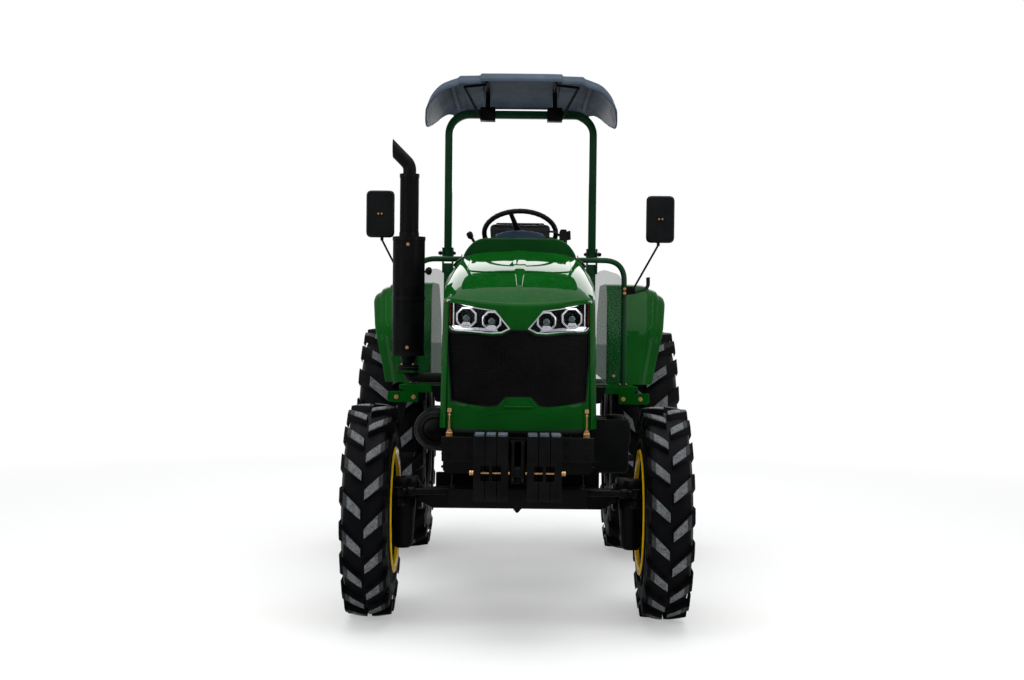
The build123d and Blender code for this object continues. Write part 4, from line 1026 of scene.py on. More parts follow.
def lampFace(x, z, back):
    # a place on the bowed front, or a little behind it
    return Vector((x, frontY + hoodFront(x) + back, z))


def makeChin():
    # the pressed field under the grille with its handle recess
    field = rounded(evenOutline(((0.0, 0.93), (0.272, 0.93, 0.01), (0.285, 0.996, 0.01), (0.125, 0.99, 0.05),
                (0.088, 1.0, 0.02), (0.0, 1.0))))
    handle = rounded(evenOutline(((0.0, 1.022), (0.07, 1.022, 0.006), (0.05, 1.056, 0.01), (0.0, 1.056))))
    frontPatch("hood_chin_edge", "green", field, 0.0018, 0.004, holes=[grown(field, -0.006)], bevel=0.001)
    frontPatch("hood_handle_edge", "green", grown(handle, 0.006), 0.0022, 0.004, 0.01, holes=[handle], bevel=0.001)
    frontPatch("hood_handle_recess", "green", handle, -0.0006, 0.002, 0.01)
    bar = [lampFace(-0.062 + 0.124 * k / 12, 1.0255, -0.006) for k in range(13)]
    Shape().tube(bar, 0.0055, 10, 0.8).done("hood_handle_lip", "green", "hood_body")
    lip = []
    for k in range(41):
        x = -0.316 + 0.632 * k / 40
        profile = ((-0.002, 0.922), (-0.005, 0.914), (-0.003, 0.905), (0.01, 0.905), (0.01, 0.922))
        lip.append([(x, frontY + hoodFront(x) + y, z) for y, z in profile])
    Shape().skin(lip).done("hood_bottom_seal", "black_plastic", "hood_body", sharp=50)


def octagon(x, z, size):
    return rounded([(x + size * math.cos(a), z + size * math.sin(a), 0.006) for a in spokes(8, math.pi / 8)], 3)


# name, finish, outline, how far it stands out, thickness and the size of its triangles
lampTrim = (
    ("headlamp_strip_", "lamp", ((0.092, 1.352), (0.286, 1.362), (0.3, 1.374), (0.29, 1.378), (0.096, 1.362)),
        -0.006, 0.008, 0.02),
    ("headlamp_marker_", "amber", ((0.306, 1.384), (0.318, 1.392), (0.318, 1.484), (0.308, 1.479)), -0.014, 0.004,
        0.012),
    ("headlamp_divider_", "lamp", ((0.288, 1.372), (0.293, 1.374), (0.293, 1.478), (0.288, 1.476)), -0.004, 0.016,
        0.01),
)


def makeLamps():
    # a dark pan, bright rims, two reflectors and a clear cover on each side
    body = "hood_body"
    for side, tag in bothSides:
        cluster = flipped(side, rounded(lampOutline))
        frontPatch("headlamp_pan_" + tag, "darkInside", grown(cluster, -0.001), -0.034, 0.003, 0.02, sharp=50)
        frontPatch("headlamp_rim_" + tag, "lamp", grown(cluster, -0.0005), -0.001, 0.012,
            holes=[grown(cluster, -0.006)])
        for number, x, z, big, small in (("1", side * 0.12, 1.4, 0.046, 0.037),
            ("2", side * 0.233, 1.413, 0.05, 0.041)):
            loops = ((big, 0.012), (big, 0.004), (small, 0.003), (small, 0.026))
            rings = [[lampFace(p.x, p.y, back) for p in octagon(x, z, size)] for size, back in loops]
            bezel = Shape().skin(rings + [rings[0]], caps=False, weld=True)
            bezel.done("lamp_bezel_" + tag + number, "lamp", body, bevel=0.001)
            bowl = Shape().lathe([(0.004, 0.0385), (0.01, 0.036), (0.02, 0.03), (0.028, 0.018), (0.031, 0.009),
                    (0.034, 0.009), (0.034, 0.0)], lampFace(x, z, 0.006), (0, 1, 0), 36)
            bowl.done("lamp_bowl_" + tag + number, "darkInside", body)
            eye = Shape().lathe([(-0.002, 0.0), (-0.001, 0.01), (0.004, 0.017), (0.01, 0.02), (0.022, 0.021),
                    (0.022, 0.0)], lampFace(x, z - 0.004, 0.008), (0, 1, 0), 32)
            eye.done("lamp_lens_" + tag + number, "lens", body)
            foot = ((x - 0.024, z - 0.036), (x + 0.024, z - 0.036), (x + 0.015, z - 0.02), (x - 0.015, z - 0.02))
            foot = Shape().slab(foot, lampFace(x, z, 0.008).y, lampFace(x, z, 0.02).y)
            foot.done("lamp_foot_" + tag + number, "lamp", body, bevel=0.002)
        for name, finish, outline, proud, thick, step in lampTrim:
            frontPatch(name + tag, finish, flipped(side, outline), proud, thick, step)
        cover = frontPatch("headlamp_cover_" + tag, "clearLens", grown(cluster, -0.002), 0.0004, 0.0, 0.018)
        if side > 0:
            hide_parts("headlamps")


makeHoodShell()
makeHoodPanel()
grilleMesh()
makeChin()
makeLamps()
print("hood, grille and lamps")


# canopy, fenders, platform and dash
canopyWork = {"front": 1.52, "length": 1.29, "top": 2.8, "wall": 0.0055}
fenderWork = {
    "inner": 0.5,
    "top": 1.604,
    # rows of share of the width and drop of the tier
    "across": ((0.0, 0.0), (0.3, 0.0), (0.5, 0.001), (0.6, 0.004), (0.68, 0.009), (0.72, 0.013), (0.735, 0.024),
        (0.78, 0.028), (0.83, 0.034), (0.865, 0.042), (0.88, 0.055), (0.92, 0.061), (0.96, 0.07), (0.985, 0.08),
        (1.0, 0.094)),
    # rows of height and the outer edge's place across
    "limit": ((1.0, 0.738), (1.15, 0.768), (1.34, 0.812), (1.49, 0.836), (1.7, 0.838)),
}


def between(value, rows):
    # a value read from a table of (place, value)
    for first, second in zip(rows, rows[1:]):
        if value <= second[0]:
            t = (value - first[0]) / (second[0] - first[0]) if second[0] != first[0] else 1
            return first[1] + (second[1] - first[1]) * max(t, 0)
    return rows[-1][1]


def makeCanopy():
    # an arched section carried along a bent line, cut off along its skirt, with ribs and lips
    top, y0 = canopyWork["top"], frontY + canopyWork["front"]
    y1 = y0 + canopyWork["length"]
    outer = smoothPath([(0.5605, -0.33), (0.5575, -0.28), (0.543, -0.196), (0.512, -0.118), (0.457, -0.062),
            (0.4, -0.04)], [0, 1.0, 1.0, 1.0, 1.0, 0], False, 8)
    inner = smoothPath([(0.4, -0.04), (0.364, -0.028), (0.35, -0.016), (0.25, -0.0135), (0.236, -0.012),
            (0.229, -0.0015), (0.12, -0.0006), (0.0, -0.0005)], [0, 0.01, 0.008, 0.004, 0.004, 0.006, 0, 0], False,
            5)

    def sectionAbove(low):
        # the outer part of the arch from its lower line up, with a fixed count of points
        kept = [p for p in outer if p.y > low]
        first = len(outer) - len(kept)
        if first > 0:
            before, after = outer[first - 1], outer[first]
            kept = [before + (after - before) * ((low - before.y) / (after.y - before.y))] + kept
        lengths = [0.0]
        for one, two in zip(kept, kept[1:]):
            lengths.append(lengths[-1] + (two - one).length)
        spots = []
        for n in range(18):
            want, k = lengths[-1] * n / 17, 0
            while k < len(lengths) - 2 and lengths[k + 1] < want:
                k += 1
            spots.append(kept[k] + (kept[k + 1] - kept[k]) * ((want - lengths[k]) / (lengths[k + 1] - lengths[k])))
        half = spots + inner[1:]
        return [(p.x, p.y) for p in half] + [(-p.x, p.y) for p in reversed(half[:-1])]

    turn = [(0.0, -0.056), (0.0, -0.04), (0.055, -0.004), (0.16, 0.0), (1.09, 0.0), (1.23, -0.01), (1.29, -0.04),
        (1.29, -0.054)]
    along = smoothPath([(a, b, 0) for a, b in turn], [0, 0.03, 0.07, 0.08, 0.1, 0.1, 0.02, 0], False, 6)
    steps = []
    for first, second in zip(along, along[1:]):
        pieces = max(1, int((second.x - first.x) / 0.05))
        steps += [first + (second - first) * k / pieces for k in range(pieces)]
    steps.append(along[-1])
    skirt = [(-0.01, -0.186), (0.09, -0.232), (0.19, -0.27), (0.3, -0.282), (0.42, -0.272), (0.75, -0.222),
        (1.05, -0.162), (1.29, -0.078)]
    rings = []
    for spot in steps:
        section = sectionAbove(min(between(spot.x, skirt) - spot.y, -0.055))
        rings.append([(x, y0 + spot.x, top + z + spot.y) for x, z in section])
    shell = Shape().skin(rings, closed=False, caps=False, weld=True)
    shell.done("canopy_shell", "canopy", "roll_hoop", upward=True, sharp=38, stands=["canopy"],
        thick=canopyWork["wall"])
    ribs = Shape()
    for x in (-0.4, 0.4):
        ribs.slab([(x - 0.012, top - 0.052), (x + 0.012, top - 0.052), (x + 0.01, top - 0.075, 0.004),
                (x - 0.01, top - 0.075, 0.004)], y0 + 0.06, y1 - 0.08)
    ribs.done("canopy_ribs", "canopy", "roll_hoop", bevel=0.002)
    for side in (0, -1):
        edge = [Vector(ring[side]) + Vector((0.004 if side else -0.004, 0, 0.003)) for ring in rings]
        Shape().tube(edge[1:-1], 0.0048, 8).done("canopy_lip_" + ("right" if side else "left"), "canopy",
            "roll_hoop")
    front = [Vector(p) + Vector((0, 0.004, 0.002)) for p in rings[0]]
    Shape().tube(front[1:-1], 0.0045, 8).done("canopy_lip_front", "canopy", "roll_hoop")


def fenderLine(drop):
    # the fender's side profile, lowered by the tier's drop
    top = fenderWork["top"] - drop
    corners = [(rearY - 0.85 + drop * 0.7, 1.04, 0), (rearY - 0.8 + drop * 0.7, 1.33, 0), (rearY - 0.52, top, 0),
        (rearY + 0.26, top, 0), (rearY + 0.57 - drop * 0.6, 1.4, 0), (rearY + 0.65 - drop * 0.6, 1.04, 0)]
    path = smoothPath(corners, [0, 0.22, 0.19, 0.22, 0.18, 0], False, 9)
    quarters = (0, 0.25, 0.5, 0.75)
    start = [path[0] + (path[1] - path[0]) * t for t in quarters]
    return start + path[1:-1] + [path[-2] + (path[-1] - path[-2]) * t for t in (*quarters, 1.0)]


def makeFender():
    # tiers from the inner wall outwards, each to its own limit, with a turned lip
    inner = fenderWork["inner"] + 0.0005
    for side, tag in bothSides:
        made = []
        for share, drop in fenderWork["across"]:
            limits = [(between(p.y, fenderWork["limit"]), p) for p in fenderLine(drop)]
            made.append([(side * (inner + (limit - inner) * share), p.x, p.y) for limit, p in limits])
        lip = []
        for x, y, z in made[-1]:
            turned = 0.012 if y < rearY else -0.012
            lip.append((x - side * 0.006, y, z - 0.016) if z > 1.3 else (x - side * 0.006, y + turned, z))
        work = Shape().skin(made + [lip], closed=False, caps=False).work
        work.faces.new([work.verts.new(p) for p in made[0]])
        bmesh.ops.remove_doubles(work, verts=work.verts[:], dist=1e-4)
        bmesh.ops.triangulate(work, faces=[f for f in work.faces if len(f.verts) > 4])
        bmesh.ops.recalc_face_normals(work, faces=work.faces[:])
        if sum(f.normal.z * f.calc_area() for f in work.faces if abs(f.normal.z) > 0.5) < 0:
            bmesh.ops.reverse_faces(work, faces=work.faces[:])
        piece = dress(meshOf(work, "fender_" + tag), "fender_" + tag, "green", sharp=46, thick=0.0045)
        if side > 0:
            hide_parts("fenders")


def makePlatform():
    # front beam, deck with its cross bars, ribbed mats, end plates and hanging steps
    z, y0, half = deckTop, frontY + 0.985, 0.636
    beam = Shape()
    outline = evenOutline(((0.0, z - 0.043), (half - 0.03, z - 0.043), (half, z - 0.02, 0.01),
            (half, z - 0.001, 0.004), (0.0, z - 0.001)))
    beam.slab(outline, y0 + 0.001, y0 + 0.03)
    beam.done("platform_beam", "green", bevel=0.003, stands=["platform"])
    deck = Shape()
    deck.block(-0.626, 0.626, y0 + 0.02, frontY + 1.262, z - 0.007, z - 0.001)
    deck.block(-0.4985, 0.4985, frontY + 1.262, rearY - 0.25, z - 0.007, z - 0.001)
    for y in (frontY + 1.1, rearY - 0.29):
        deck.block(-0.34, 0.34, y, y + 0.04, 1.001, z - 0.007)
    deck.done("platform_deck", "green", bevel=0.002)
    mats = Shape()
    ribs = Shape()
    for side in (-1, 1):
        mat = ((0.33, y0 + 0.035), (0.48, y0 + 0.035), (0.48, frontY + 1.6), (0.2, frontY + 1.6),
            (0.2, frontY + 1.16), (0.33, frontY + 1.16))
        mats.slab([(side * a, b, 0.02) for a, b in mat], z - 0.002, z + 0.006, "z")
        for k in range(14):
            y = frontY + 1.19 + k * 0.029
            ribs.block(side * 0.215, side * 0.465, y, y + 0.012, z + 0.004, z + 0.0095)
    mats.done("foot_mats", "mat", bevel=0.002)
    ribs.done("foot_mat_ribs", "mat", bevel=0.0015)
    steps = Shape()
    plates = Shape()
    for side in (-1, 1):
        plates.slab(flipped(side, ((0.535, 0.95), (0.7, 0.95, 0.02), (0.7, 1.008, 0.012), (0.535, 1.008))),
            y0 + 0.001, y0 + 0.008)
        steps.block(side * 0.592, side * 0.638, y0 + 0.01, y0 + 0.248, 1.0, 1.038)
        for y in (y0 + 0.07, y0 + 0.282):
            hanger = [(0.598, 1.004), (0.634, 1.004), (0.699, 0.68, 0.03), (0.699, 0.641, 0.006),
                (0.561, 0.641, 0.006), (0.561, 0.653), (0.672, 0.653, 0.02), (0.672, 0.68, 0.03)]
            steps.slab(flipped(side, hanger), y, y + 0.007)
        for k in range(5):
            x0 = 0.568 + k * 0.026
            steps.block(side * x0, side * (x0 + 0.014), y0 + 0.072, y0 + 0.288, 0.643, 0.652)
        for k in range(12):
            y = y0 + 0.075 + k * 0.0185
            steps.block(side * 0.565, side * 0.695, y, y + 0.005, 0.65, 0.6565)
    plates.done("platform_end_plates", "green", bevel=0.002)
    steps.done("hanging_steps", "black_steel", bevel=0.0015)
    bolts("platform_bolts", twoSided([(0.56, y0 + 0.0005, 0.978, "-y", 0.014),
                (0.652, y0 + 0.0005, 0.978, "-y", 0.014)]))


def makeCowl():
    # dash shell, its rolled top, the seal to the hood and the instrument dome
    y0, y1, top = frontY + 0.89, frontY + 1.13, 1.827
    half = 0.3065
    flat = rounded(evenOutline(((0.0, 1.0465), (half, 1.0465), (half, top - 0.092, 0.24), (half - 0.076, top, 0.24),
                (0.0, top + 0.001))), 7)
    loops = []
    for inset, y in ((0.012, y0 + 0.0005), (0.004, y0 + 0.003), (0.0, y0 + 0.012), (0.0, y1 - 0.014),
        (0.004, y1 - 0.003), (0.014, y1)):
        loops.append([(p.x, y, p.y) for p in (grown(flat, -inset) if inset else flat)])
    Shape().skin(loops).done("dash_shell", "cowl_green", sharp=50, stands=["dash_cowl"])
    arms = Shape()
    hy, hz = frontY + 0.838, 1.718
    for side in (-1, 1):
        arm = [(hy - 0.013, hz - 0.006), (hy - 0.013, hz + 0.013, 0.01), (hy + 0.013, hz + 0.013, 0.01),
            (hy + 0.013, hz + 0.002), (y0 + 0.002, hz - 0.037), (y0 + 0.002, hz - 0.072), (y0 - 0.012, hz - 0.072)]
        arms.slab(arm, side * 0.102 - 0.003, side * 0.102 + 0.003, "x")
        arms.lathe([(0.0, 0.006), (0.019, 0.006)], (side * 0.099 if side > 0 else -0.118, hy, hz), (1, 0, 0), 16)
    arms.done("hood_hinge_arms", "black_steel")
    path = [(x, y0 - 0.012, hoodTop(x * 0.985, hoodWork["rear"]) - 0.004)
        for x in (-0.346 + 0.692 * k / 40 for k in range(41))]
    Shape().tube(path, 0.0095, 8).done("hood_seal", "black_plastic")
    rows = []
    for k in range(13):
        t = k / 12
        y = y1 - 0.15 + 0.15 * t
        lift = 0.05 * (1 - (1 - t) ** 2.6) ** 0.8 + 0.001
        turns = [math.pi * n / 24 for n in range(25)]
        rows.append([(0.141 * math.cos(a) * (0.86 + 0.14 * t), y, top + 0.0005 + lift * max(math.sin(a), 0) ** 0.62)
                for a in turns])
    Shape().skin(rows).done("dash_dome", "domeBlue", sharp=60, stands=["dash_controls"])
    box = Shape()
    y = y1 + 0.0003
    box.slab([(0.214, top - 0.07), (0.256, top - 0.07), (0.256, top + 0.046, 0.006), (0.25, top + 0.061, 0.006),
            (0.22, top + 0.061, 0.006), (0.214, top + 0.046)], y, y + 0.06)
    box.slab([(0.252, top + 0.002), (0.276, top + 0.006, 0.004), (0.274, top + 0.056, 0.006), (0.256, top + 0.052)],
        y + 0.01, y + 0.034)
    box.bent([(0.226, y + 0.03, top + 0.02), (0.19, y + 0.04, top + 0.048), (0.15, y + 0.05, top + 0.052)], 0.006,
        0.02)
    box.done("control_box", "black_plastic", bevel=0.003)
    lever = Shape()
    lever.tube([(-0.232, y + 0.013, top - 0.038), (-0.268, y + 0.02, top + 0.02)], 0.008)
    lever.tube([(-0.262, y + 0.019, top + 0.008), (-0.268, y + 0.02, top + 0.016), (-0.276, y + 0.021, top + 0.034),
            (-0.281, y + 0.021, top + 0.042)], [0.01, 0.017, 0.018, 0.011])
    lever.block(-0.25, -0.214, y, y + 0.026, top - 0.088, top - 0.028)
    lever.done("hand_lever", "black_plastic", bevel=0.0015)


makeCanopy()
makeFender()
makePlatform()
makeCowl()
print("canopy, fenders, platform and dash")


# front weights, exhaust, mirrors, steering wheel, seat and rails
exhaustWork = {"x": -0.575, "along": 0.75, "bodyRadius": 0.083, "low": 1.204, "high": 1.822, "outlet": 0.049,
    "outletTop": 2.147, "tip": 0.034}


def makeWeights():
    # slabs from the solid, pale slabs laid on their tops and the clamp rod across their windows
    face, hook, top = frontY - 0.76, frontY - 0.625, 0.917
    soften("front_weights", "black_cast", "chassis", 0.003, 3)
    tops, rods = Shape(), Shape()
    for k in range(3):
        x = 0.039 + 0.05 * k
        tops.slab([(face + 0.0015, top - 0.014), (hook + 0.012, top - 0.0015), (hook + 0.012, top + 0.0008),
                (face + 0.01, top + 0.0008), (face + 0.0015, top - 0.005)], x + 0.005, x + 0.045, "x")
    rods.lathe([(0.033, 0.006), (0.206, 0.006)], (0, face + 0.028, 0.752), (1, 0, 0), 14)
    for x in (0.192, 0.201):
        rods.lathe([(-0.004, 0.011), (0.004, 0.011)], (x, face + 0.028, 0.752), (1, 0, 0), 6)
    tops.both().done("weight_faces", "paleCast", bevel=0.002)
    rods.both().done("weight_clamp_rod", "zinc", bevel=0.0008)


def makeExhaust():
    # silencer core, cut tip, perforated guards with bands, and the solid's elbow below
    e = exhaustWork
    x, y, r = e["x"], frontY + e["along"], e["bodyRadius"]
    body = Shape()
    body.lathe([(1.15, 0.03), (1.166, 0.032), (e["low"], 0.042), (e["low"] + 0.001, r - 0.012),
            (e["low"] + 0.01, r - 0.006), (e["high"] - 0.008, r - 0.006), (e["high"] - 0.001, r - 0.014),
            (e["high"], e["outlet"] - 0.005), (e["outletTop"] - 0.004, e["outlet"] - 0.005),
            (e["outletTop"], e["outlet"] - 0.012), (e["outletTop"] + 0.001, e["tip"])], (x, y, 0), (0, 0, 1), 48)
    for z in (1.135, 1.152):
        body.lathe([(-0.006, 0.056), (0.006, 0.056)], (x, y, z), (0, 0, 1), 40)
    body.done("muffler_core", "exhaust", sharp=32)
    path = smoothPath([(x, y, e["outletTop"] - 0.01), (x, y, e["outletTop"] + 0.045),
            (x - 0.095, y, e["outletTop"] + 0.14)], 0.12, False, 12)
    walls = []
    for radius in (e["tip"], e["tip"] - 0.003):
        rings = []
        for k, here in enumerate(path):
            ahead = (path[min(k + 1, len(path) - 1)] - path[max(k - 1, 0)]).normalized()
            side = Vector((0, 1, 0))
            other = ahead.cross(side)
            ring = [here + (side * math.cos(a) + other * math.sin(a)) * radius for a in spokes(28)]
            if k == len(path) - 1:
                ring = [p - ahead * ((p.x - (x - 0.088)) / ahead.x) for p in ring]  # cut upright
            rings.append(ring)
        walls.append(rings)
    Shape().skin(walls[0] + walls[1][::-1], caps=False).done("exhaust_tip", "exhaust", sharp=50)
    # perforated guards round the silencer and its outlet
    w = Weave("perforation", Hole=("Float", 0.6))
    feeds = {"Mesh": w.want("Geometry"), "Offset Scale": 0.0, "Individual": True}
    split = addNode(w.tree, "GeometryNodeExtrudeMesh", {"mode": "FACES"}, feeds)
    shrink = w.add("GeometryNodeScaleElements", {"domain": "FACE"},
        {"Geometry": split.outputs["Mesh"], "Selection": split.outputs["Top"], "Scale": w.want("Hole")})
    holes = w.add("GeometryNodeDeleteGeometry", {"domain": "FACE"},
        {"Geometry": shrink, "Selection": split.outputs["Top"]})
    perforate = w.end(holes)
    for name, radius, low, high, count, rows in (("muffler_guard", r, e["low"] + 0.004, e["high"] - 0.002, 64, 76),
        ("outlet_guard", e["outlet"], e["high"] + 0.004, e["outletTop"] - 0.002, 38, 40)):
        rings = []
        for k in range(rows + 1):
            z = low + (high - low) * k / rows
            rings.append([(x + radius * math.cos(a), y + radius * math.sin(a), z) for a in spokes(count)])
        seed = meshOf(Shape().skin(rings, caps=False).work, name)
        dress(perforate.grow(seed, "exhaust", Hole=0.55), name, "exhaust", sharp=50, thick=0.0015)
    bands = Shape()
    for z, radius in ((e["low"] + 0.012, r), (e["low"] + 0.3, r), (e["high"] - 0.01, r),
        (e["high"] + 0.012, e["outlet"]), (e["outletTop"] - 0.01, e["outlet"])):
        bands.lathe([(-0.01, radius + 0.0005), (-0.01, radius + 0.0025), (0.01, radius + 0.0025),
                (0.01, radius + 0.0005)], (x, y, z), (0, 0, 1), 48, loop=True)
    bands.done("guard_bands", "exhaust", sharp=40)
    rows = [(x + 0.04 * math.cos(a), y + 0.04 * math.sin(a), 1.158, "z", 0.011) for a in (0.8, 2.4, 3.9, 5.5)]
    bolts("exhaust_bolts", rows + [(x, y - r - 0.002, z, "-y", 0.01) for z in (1.25, 1.78)])
    # the elbow and flange stay as the solid has them, below the silencer
    mesh = soften("exhaust", "exhaust", "chassis", 0.0).data
    work = bmesh.new()
    work.from_mesh(mesh)
    gone = [v for v in work.verts if v.co.z > 1.128]
    bmesh.ops.delete(work, geom=gone, context="VERTS")
    bmesh.ops.holes_fill(work, edges=work.edges[:])
    bmesh.ops.recalc_face_normals(work, faces=work.faces[:])
    work.to_mesh(mesh)
    work.free()


def makeMirrors():
    # shell, front rib, glass, arm with its foot plate, clip and screws
    y0 = railY - 0.015
    for side, tag, reach, base in ((1, "left", 0.747, 1.813), (-1, "right", 0.746, 1.827)):
        centre = Vector((side * reach, y0, base + 0.126))

        def edge(y, inset, radius):
            w, h = 0.0755 - inset, 0.1255 - inset
            return [(centre.x + p.x, y0 + y, centre.z + p.y) for p in rounded(box4(-w, w, -h, h, radius), 6)]

        rows = ((-0.034, 0.016, 0.022), (-0.033, 0.008, 0.026), (-0.024, 0.001, 0.03), (-0.008, 0.0, 0.03),
            (-0.003, 0.003, 0.028))
        head = Shape().skin([edge(*row) for row in rows])
        piece = head.done("mirror_shell_" + tag, "black_plastic", sharp=40)
        if side > 0:
            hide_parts("mirrors")
        path = edge(-0.0335, 0.01, 0.022)
        Shape().tube(path + [path[0]], 0.0022, 6).done("mirror_rib_" + tag, "black_plastic")
        Shape().skin([edge(y, 0.008, 0.024) for y in (-0.0032, -0.0015)]).done("mirror_glass_" + tag, "mirrorGlass")
        arm = Shape()
        plate = ((0.548, 1.532), (0.618, 1.54, 0.008), (0.618, 1.572, 0.008), (0.6, 1.579, 0.006), (0.548, 1.579))
        arm.slab(flipped(side, plate), y0 - 0.006, y0 - 0.0003)
        foot = Vector((side * 0.604, y0 - 0.008, 1.56))
        knee = Vector((side * (reach - 0.01), y0 - 0.018, base - 0.012))
        arm.tube(smoothPath([foot, knee, knee + Vector((side * 0.004, 0.002, 0.05))], 0.02, False, 6), 0.0055, 10)
        arm.lathe([(-0.009, 0.0), (-0.007, 0.006), (0.0, 0.009), (0.007, 0.006), (0.009, 0.0)], foot, (0, 1, 0), 16)
        arm.block(side * (reach - 0.018), side * (reach - 0.002), y0 - 0.026, y0 - 0.014, base - 0.016,
            base + 0.002)
        arm.done("mirror_arm_" + tag, "black_steel")
        clip = Shape().slab(box4(centre.x - 0.016, centre.x + 0.016, centre.z - 0.01, centre.z + 0.01, 0.004),
            y0 - 0.04, y0 - 0.0335)
        clip.done("mirror_clip_" + tag, "black_steel", bevel=0.0015)
        screws = [(centre.x + shift, y0 - 0.04, centre.z, "-y", 0.006) for shift in (-0.009, 0.009)]
        bolts("mirror_screws_" + tag, screws + [(side * 0.562, y0 - 0.006, z, "-y", 0.01) for z in (1.567, 1.544)])


def makeSteeringWheel():
    # rim with a grooved grip, boss and three tapered spokes, about the tilted column
    centre = Vector((0, frontY + 1.31, 1.872))
    tilt = math.radians(35)
    axis = Vector((0, math.sin(tilt), math.cos(tilt)))
    right = Vector((1, 0, 0))
    up = axis.cross(right)
    low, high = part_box("steering_wheel")
    radius = (high.x - low.x) / 2 - 0.014
    rim = Shape()
    rings = []
    for a in spokes(72):
        out = right * math.cos(a) + up * math.sin(a)
        grip = 0.0138 + 0.0004 * math.cos(36 * a)
        rings.append([centre + out * radius + (out * math.cos(b) + axis * math.sin(b)) * grip for b in spokes(16)])
    rim.skin(rings + [rings[0]], caps=False, weld=True)
    rim.lathe([(-0.05, 0.0), (-0.05, 0.034), (-0.036, 0.044), (-0.008, 0.044), (0.004, 0.038), (0.01, 0.028),
            (0.012, 0.0)], centre - axis * 0.006, axis, 40)
    for turn in (-106, 14, 134):
        a = math.radians(turn)
        out = right * math.cos(a) + up * math.sin(a)
        side = axis.cross(out)
        rows = []
        for t in (0.0, 0.2, 0.5, 0.8, 1.0):
            spot = centre + out * (0.034 + (radius - 0.034) * t) - axis * (0.016 * (1 - t) ** 1.5 + 0.002)
            wide = 0.019 - 0.006 * math.sin(math.pi * min(t, 0.75) / 1.5)
            deep = 0.0075
            rows.append([spot + side * (wide * math.cos(b)) + axis * (deep * math.sin(b)) for b in spokes(14)])
        rim.skin(rows)
    rim.done("steering_wheel_moulding", "black_plastic", "wheel_rim_hand", sharp=50, stands=["steering_wheel"])


def puffed(name, low, high, radius, crown, pull, seams, cuts=26):
    # a crowned cushion between two corners, whose sides pull in between its corners
    centre, half = (Vector(low) + Vector(high)) / 2, (Vector(high) - Vector(low)) / 2
    work = bmesh.new()
    bmesh.ops.create_cube(work, size=2.0)
    bmesh.ops.subdivide_edges(work, edges=work.edges[:], cuts=cuts, use_grid_fill=True)
    for vert in work.verts:
        unit = Vector(vert.co)
        inner = Vector([max(-1 + radius / half[n], min(1 - radius / half[n], unit[n])) * half[n] for n in range(3)])
        outer = Vector([unit[n] * half[n] for n in range(3)])
        away = outer - inner
        if away.length > 1e-9:
            outer = inner + away.normalized() * radius
        vert.co = outer
    flat = min(range(3), key=lambda n: half[n])
    sides = [n for n in range(3) if n != flat]
    for vert in work.verts:
        u, v = vert.co[sides[0]] / half[sides[0]], vert.co[sides[1]] / half[sides[1]]
        dome = max(0.0, (1 - u * u) * (1 - v * v)) ** 0.5
        groove = 0.0
        for axisIndex, place in seams:
            gap = abs(vert.co[sides[axisIndex]] - place * half[sides[axisIndex]])
            groove += 0.01 * math.exp(-(gap / 0.009) ** 2)
        face = 1 if vert.co[flat] > 0 else -1
        amount = (dome - 0.55) * crown - groove if face > 0 else -groove * 0.2
        vert.co[flat] += face * amount * min(1.0, abs(vert.co[flat]) / (half[flat] * 0.5))
        for n, other in ((0, v), (1, u)):
            vert.co[sides[n]] *= 1 - pull * (1 - other * other)
    for vert in work.verts:
        vert.co += centre
    return meshOf(work, name)


def simulated(mesh, cap, pressure):
    # swells the cushion with cloth pressure and keeps each point within the cap
    piece = placed("swell", mesh.copy())
    remesh = piece.modifiers.new("even", "REMESH")
    remesh.mode, remesh.voxel_size = "VOXEL", 0.006
    ready = plainMesh(piece)
    piece.modifiers.clear()
    piece.data = ready
    before = np.empty(len(ready.vertices) * 3)
    ready.vertices.foreach_get("co", before)
    cloth = piece.modifiers.new("cloth", "CLOTH")
    cloth.settings.use_pressure = True
    cloth.settings.uniform_pressure_force = pressure
    cloth.settings.effector_weights.gravity = 0
    cloth.settings.mass = 0.4
    scene = bpy.context.scene
    for step in range(1, 21):
        scene.frame_set(step)
    swollen = plainMesh(piece)
    after = np.empty(len(swollen.vertices) * 3)
    swollen.vertices.foreach_get("co", after)
    move = (after - before).reshape(-1, 3)
    length = np.linalg.norm(move, axis=1, keepdims=True)
    move *= np.minimum(1, cap / np.maximum(length, 1e-9))
    swollen.vertices.foreach_set("co", (before.reshape(-1, 3) + move).ravel())
    bpy.data.objects.remove(piece)
    scene.frame_set(1)
    return swollen


seatWork = {
    # low corner, high corner, edge radius, crown, pull of the sides, seams as (direction, share of the half)
    "seat_pad": ((-0.226, 1.56, 1.448), (0.226, 1.972, 1.532), 0.034, 0.012, 0.03,
        ((0, -0.45), (0, 0.45), (1, 0.1))),
    "backrest_pad": ((-0.184, 2.0, 1.506), (0.184, 2.072, 1.968), 0.032, 0.01, 0.02,
        ((1, 0.0), (1, -0.5), (1, 0.5))),
}


